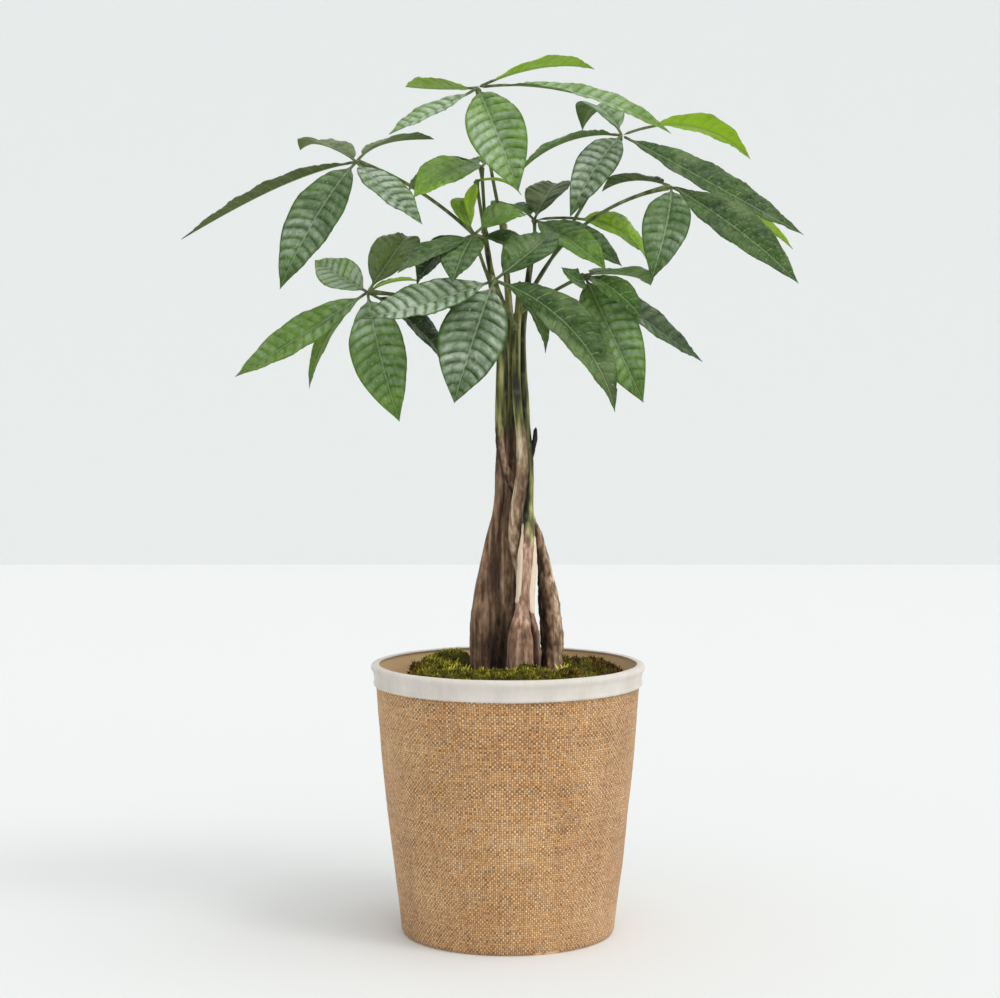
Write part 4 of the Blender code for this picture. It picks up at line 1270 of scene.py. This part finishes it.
def moss_material():
    """Deep to bright green shoots, some dried brown, each painted lit or shaded, and painted darker towards
    their feet as shade.
    """
    material, tree = new_material("moss")
    tone, dry, bright = layer_parts(tree, "shoot")
    shadow, grain = marks(object_place(tree), 220.0, 1500.0)
    patchy = 0.4 * shadow - 0.2
    green = ramp(
        tone + patchy,
        (0.0, 0.060, 0.062, 0.006), (0.35, 0.215, 0.195, 0.016),
        (0.65, 0.50, 0.43, 0.035), (1.0, 0.86, 0.78, 0.12),
    )
    brown = ramp(tone, (0.0, 0.06, 0.027, 0.006), (0.5, 0.27, 0.14, 0.03), (1.0, 0.66, 0.40, 0.11))
    colour = blend(span(dry + patchy, 0.5, 0.8), green, brown)
    # Painted light and shade: the brightness layer darkens shoots in shade and towards their feet.
    lit = span(bright, 0.0, 0.8, 0.17, 1.15)
    colour = blend(1.0, colour, node(tree, "CombineColor", {0: lit, 1: lit, 2: lit}), "MULTIPLY")
    roughness = span(grain, 0.2, 0.8, 0.6, 0.9)
    return finished(material, colour, roughness, grain, 0.5, 0.0004, Specular_IOR_Level=0.15)


def bark_material():
    """Flaky brown bark that turns into ridged green wood higher up, painted darker in its recesses as
    shade.
    """
    material, tree = new_material("bark")
    tone, pink, green = layer_parts(tree, "bark")
    relief, peel, scar = layer_parts(tree, "relief")
    place = object_place(tree)
    streak, _ = marks(stretched(place, (1, 1, 0.1)), 420.0, 1700.0)
    blotch, fleck = marks(stretched(place, (1, 1, 0.45)), 90.0, 620.0)
    # The relief layer darkens bark and wood in their recesses, as painted shade; the tone carries painted
    # light on each trunk's sunny side.
    bark = ramp(
        0.84 * streak + tone + 0.68 * blotch + 0.3 * fleck + 0.42 * relief - 0.905,
        (0.0, 0.012, 0.006, 0.003), (0.3, 0.090, 0.054, 0.027),
        (0.6, 0.32, 0.222, 0.122), (1.0, 0.88, 0.75, 0.53),
    )
    rose = blend(1.0, bark, (1.2, 0.86, 1.05), "MULTIPLY")
    wood = ramp(
        0.6 * relief + streak + 0.5 * blotch - 0.42,
        (0.1, 0.018, 0.022, 0.008), (0.34, 0.138, 0.145, 0.034),
        (0.6, 0.38, 0.365, 0.105), (0.9, 0.78, 0.72, 0.38),
    )
    wood = blend(0.16 * scar, wood, (0.46, 0.40, 0.22))
    colour = blend(green, blend(0.8 * pink, bark, rose), wood)
    lifted = span(0.3 * streak + peel, 0.45, 0.7)
    colour = blend(0.88 * lifted, colour, (0.96, 0.80, 0.60))
    return finished(material, colour, span(green, 0.0, 1.0, 0.85, 0.5), streak + 0.6 * fleck, 0.8, 0.0008)


def leaf_material():
    """Leathery blade: painted shade in the grooves between swellings, painted reflections on the swellings,
    paler underneath.
    """
    material, tree = new_material("leaf_blade")
    side, panel, rib = layer_parts(tree, "vein")
    tone, painted_sheen, along = layer_parts(tree, "look")
    under, stalk, olive = layer_parts(tree, "blade")
    place = object_place(tree)
    shadow, grain = marks(place, 60.0, 480.0)
    edge = abs(side)
    in_panel = (0.5 * (side < 0.0) + panel).fraction()
    away = abs(2.0 * in_panel - 1.0)
    spot = joined(3.4 * side, 1.25 * panel, 9.0 * painted_sheen + 17.0 * tone)
    ripple = cloud(spot, 1.5, 3.0, 0.55)

    # Green, from deep to lime; the lime end is partly painted light shining through a leaflet, the deep end
    # partly painted shade
    green = ramp(
        tone + 0.56 * shadow + 0.5 * ripple - 0.53,
        (0.0, 0.012, 0.040, 0.003), (0.3, 0.052, 0.130, 0.007),
        (0.6, 0.150, 0.300, 0.012), (1.0, 0.44, 0.72, 0.010),
    )
    green = blend(0.66 * olive, green, (0.125, 0.112, 0.045))

    # Painted reflections on the swellings, and painted glints
    swell = span(in_panel, 0.0, 0.4, 0.35, 1.0) * span(in_panel, 1.0, 0.5, 0.2, 1.0)
    patch = span(cloud(place, 34.0, 2.0), 0.38, 0.62, 0.5, 1.3)
    painted_reflection = painted_sheen**1.3 * patch * span(along, 0.6, 1.0, 1.0, 0.2) * span(edge, 1.0, 0.85)
    painted_reflection = painted_reflection * swell * span(span(ripple, 0.40, 0.60), 0.0, 1.0, 0.6, 1.0)
    glint = span(cloud(spot, 2.6, 2.0), 0.57, 0.74) * span(painted_sheen, 0.0, 0.4, 0.12, 0.42)
    painted_highlight = (0.66 * painted_reflection).least(0.85).most(glint * span(edge, 0.9, 0.4))
    green = blend(painted_highlight, green, (0.50, 0.59, 0.47))
    # A broad painted sheen on the darker leaflets.
    painted_satin_sheen = span(cloud(place, 42.0, 1.0), 0.50, 0.70) * span(painted_sheen, 0.9, 0.2, 0.0, 0.3)
    green = blend(painted_satin_sheen, green, (0.27, 0.36, 0.15))

    # Painted shade in the sunken veins and beside the midrib, a darker margin, the fine net between the
    # veins, and the pale midrib
    broken = span(cloud(spot, 0.9, 2.0), 0.36, 0.56, 0.15, 1.0) * span(painted_sheen, 0.3, 1.1, 0.25, 1.0)
    groove = span(away, 0.80, 0.98) * span(edge, 0.35, 0.95, 1.0, 0.15) * broken
    vein = span(away, 0.86, 0.97) * span(edge, 0.6, 1.0, 1.0, 0.2)
    on_rib = span(rib, 1.5, 0.3)
    beside_rib = span(rib, 4.5, 1.5) * (1.0 - on_rib)
    groove_shade_and_margin = groove.most(0.5 * beside_rib).most(span(edge, 0.93, 1.0, 0.0, 0.6))
    green = blend(0.72 * groove_shade_and_margin, green, blend(1.0, green, (0.26, 0.34, 0.26), "MULTIPLY"))
    cells = node(tree, "TexVoronoi", {"Vector": place, "Scale": 620.0}, feature="DISTANCE_TO_EDGE")
    net = span(cells, 0.0, 0.12, 1.0, 0.0)
    green = blend(0.05 * net, green, (0.30, 0.40, 0.18))
    pale = vein * span(painted_sheen, 0.7, 0.1, 0.0, 0.5) * span(ripple, 0.42, 0.62, 0.05, 1.0)
    green = blend(pale, green, (0.40, 0.50, 0.22))
    top = blend(0.4 * on_rib, green, (0.38, 0.47, 0.25))

    # Underside and stalk
    below = blend(span(tone, 0.7, 1.1, 0.42, 0.12), green, (0.130, 0.205, 0.055))
    below = blend(0.7 * (0.25 * vein).most(on_rib), below, (0.30, 0.37, 0.18))
    streak = cloud(stretched(place, (1, 1, 0.4)), 260.0)
    stem = ramp(streak, (0.25, 0.05, 0.055, 0.02), (0.5, 0.13, 0.165, 0.055), (0.8, 0.27, 0.33, 0.13))
    colour = blend(stalk, blend(under, top, below), stem)

    roughness = (0.5 * stalk).most(0.25 * under + 0.24 * grain + 0.18)
    height = 1.4 * ripple - 0.12 * net + 0.3 * grain
    return finished(material, colour, roughness, height, 0.6, 0.0011, Specular_IOR_Level=0.24)


# Stage


def make_stage():
    """Plain pale floor with a plain wall far behind it."""
    for name, size, place, tilt, colour in (
        ("floor", 6.0, (0, -0.47, 0), 0, (0.805, 0.816, 0.814)),
        ("backdrop", 8.0, (0, 2.53, 3.9), math.pi / 2, (0.84, 0.855, 0.851)),
    ):
        pick()
        bpy.ops.mesh.primitive_plane_add(size=size, location=place, rotation=(tilt, 0, 0))
        surface = bpy.context.object
        surface.name = name
        material, tree = new_material(name)
        matte = {"Base Color": colour, "Roughness": 0.9, "Specular IOR Level": 0.2}
        feed(tree.nodes["Principled BSDF"], matte)
        surface.data.materials.append(material)


def light_the_scene():
    """Even daylight all round, with a broad sun and a clearer one from the upper right."""
    world = bpy.data.worlds.new("studio")
    bpy.context.scene.world = world
    world.use_nodes = True
    feed(world.node_tree.nodes["Background"], {0: (0.965, 0.985, 1.0), 1: 0.74})
    for name, strength, width in (("soft_sun", 1.06, 74), ("clear_sun", 0.48, 16)):
        light = bpy.data.lights.new(name, "SUN")
        light.energy = strength
        light.angle = math.radians(width)
        light.color = (1.0, 0.985, 0.955)
        sun = placed(bpy.data.objects.new(name, light))
        sun.rotation_euler = Vector((0.72, -0.5, 1.2)).to_track_quat("Z", "Y").to_euler()


def add_camera():
    camera = placed(bpy.data.objects.new("camera", bpy.data.cameras.new("camera")))
    camera.data.lens = 80.0
    camera.data.sensor_width = 36.0
    camera.location = (-0.0048, -1.333, 0.339)
    camera.rotation_euler = (math.radians(90 - 3.32), 0, 0)
    bpy.context.scene.camera = camera


def main():
    add_camera()
    light_the_scene()
    make_stage()
    bpy.context.scene.view_settings.view_transform = "Standard"
    make_weave_group()
    make_uneven_group()
    make_burlap_wall(burlap_material("burlap"))
    make_burlap_base(burlap_material("burlap_flat", flat=True))
    make_rim_band(cotton_material())
    make_nursery_pot(plastic_material())
    make_soil(soil_material())
    shoot = make_shoot()
    moss = moss_material()
    for pad in MOSS_PADS:
        make_moss(pad, shoot, moss)
    bpy.data.objects.remove(shoot)
    bark = bark_material()
    for order, trunk in enumerate(TRUNKS):
        make_trunk(trunk, order, bark)
    blade = leaf_material()
    for order, leaf in enumerate(LEAVES):
        make_leaf(leaf, order, blade)


main()
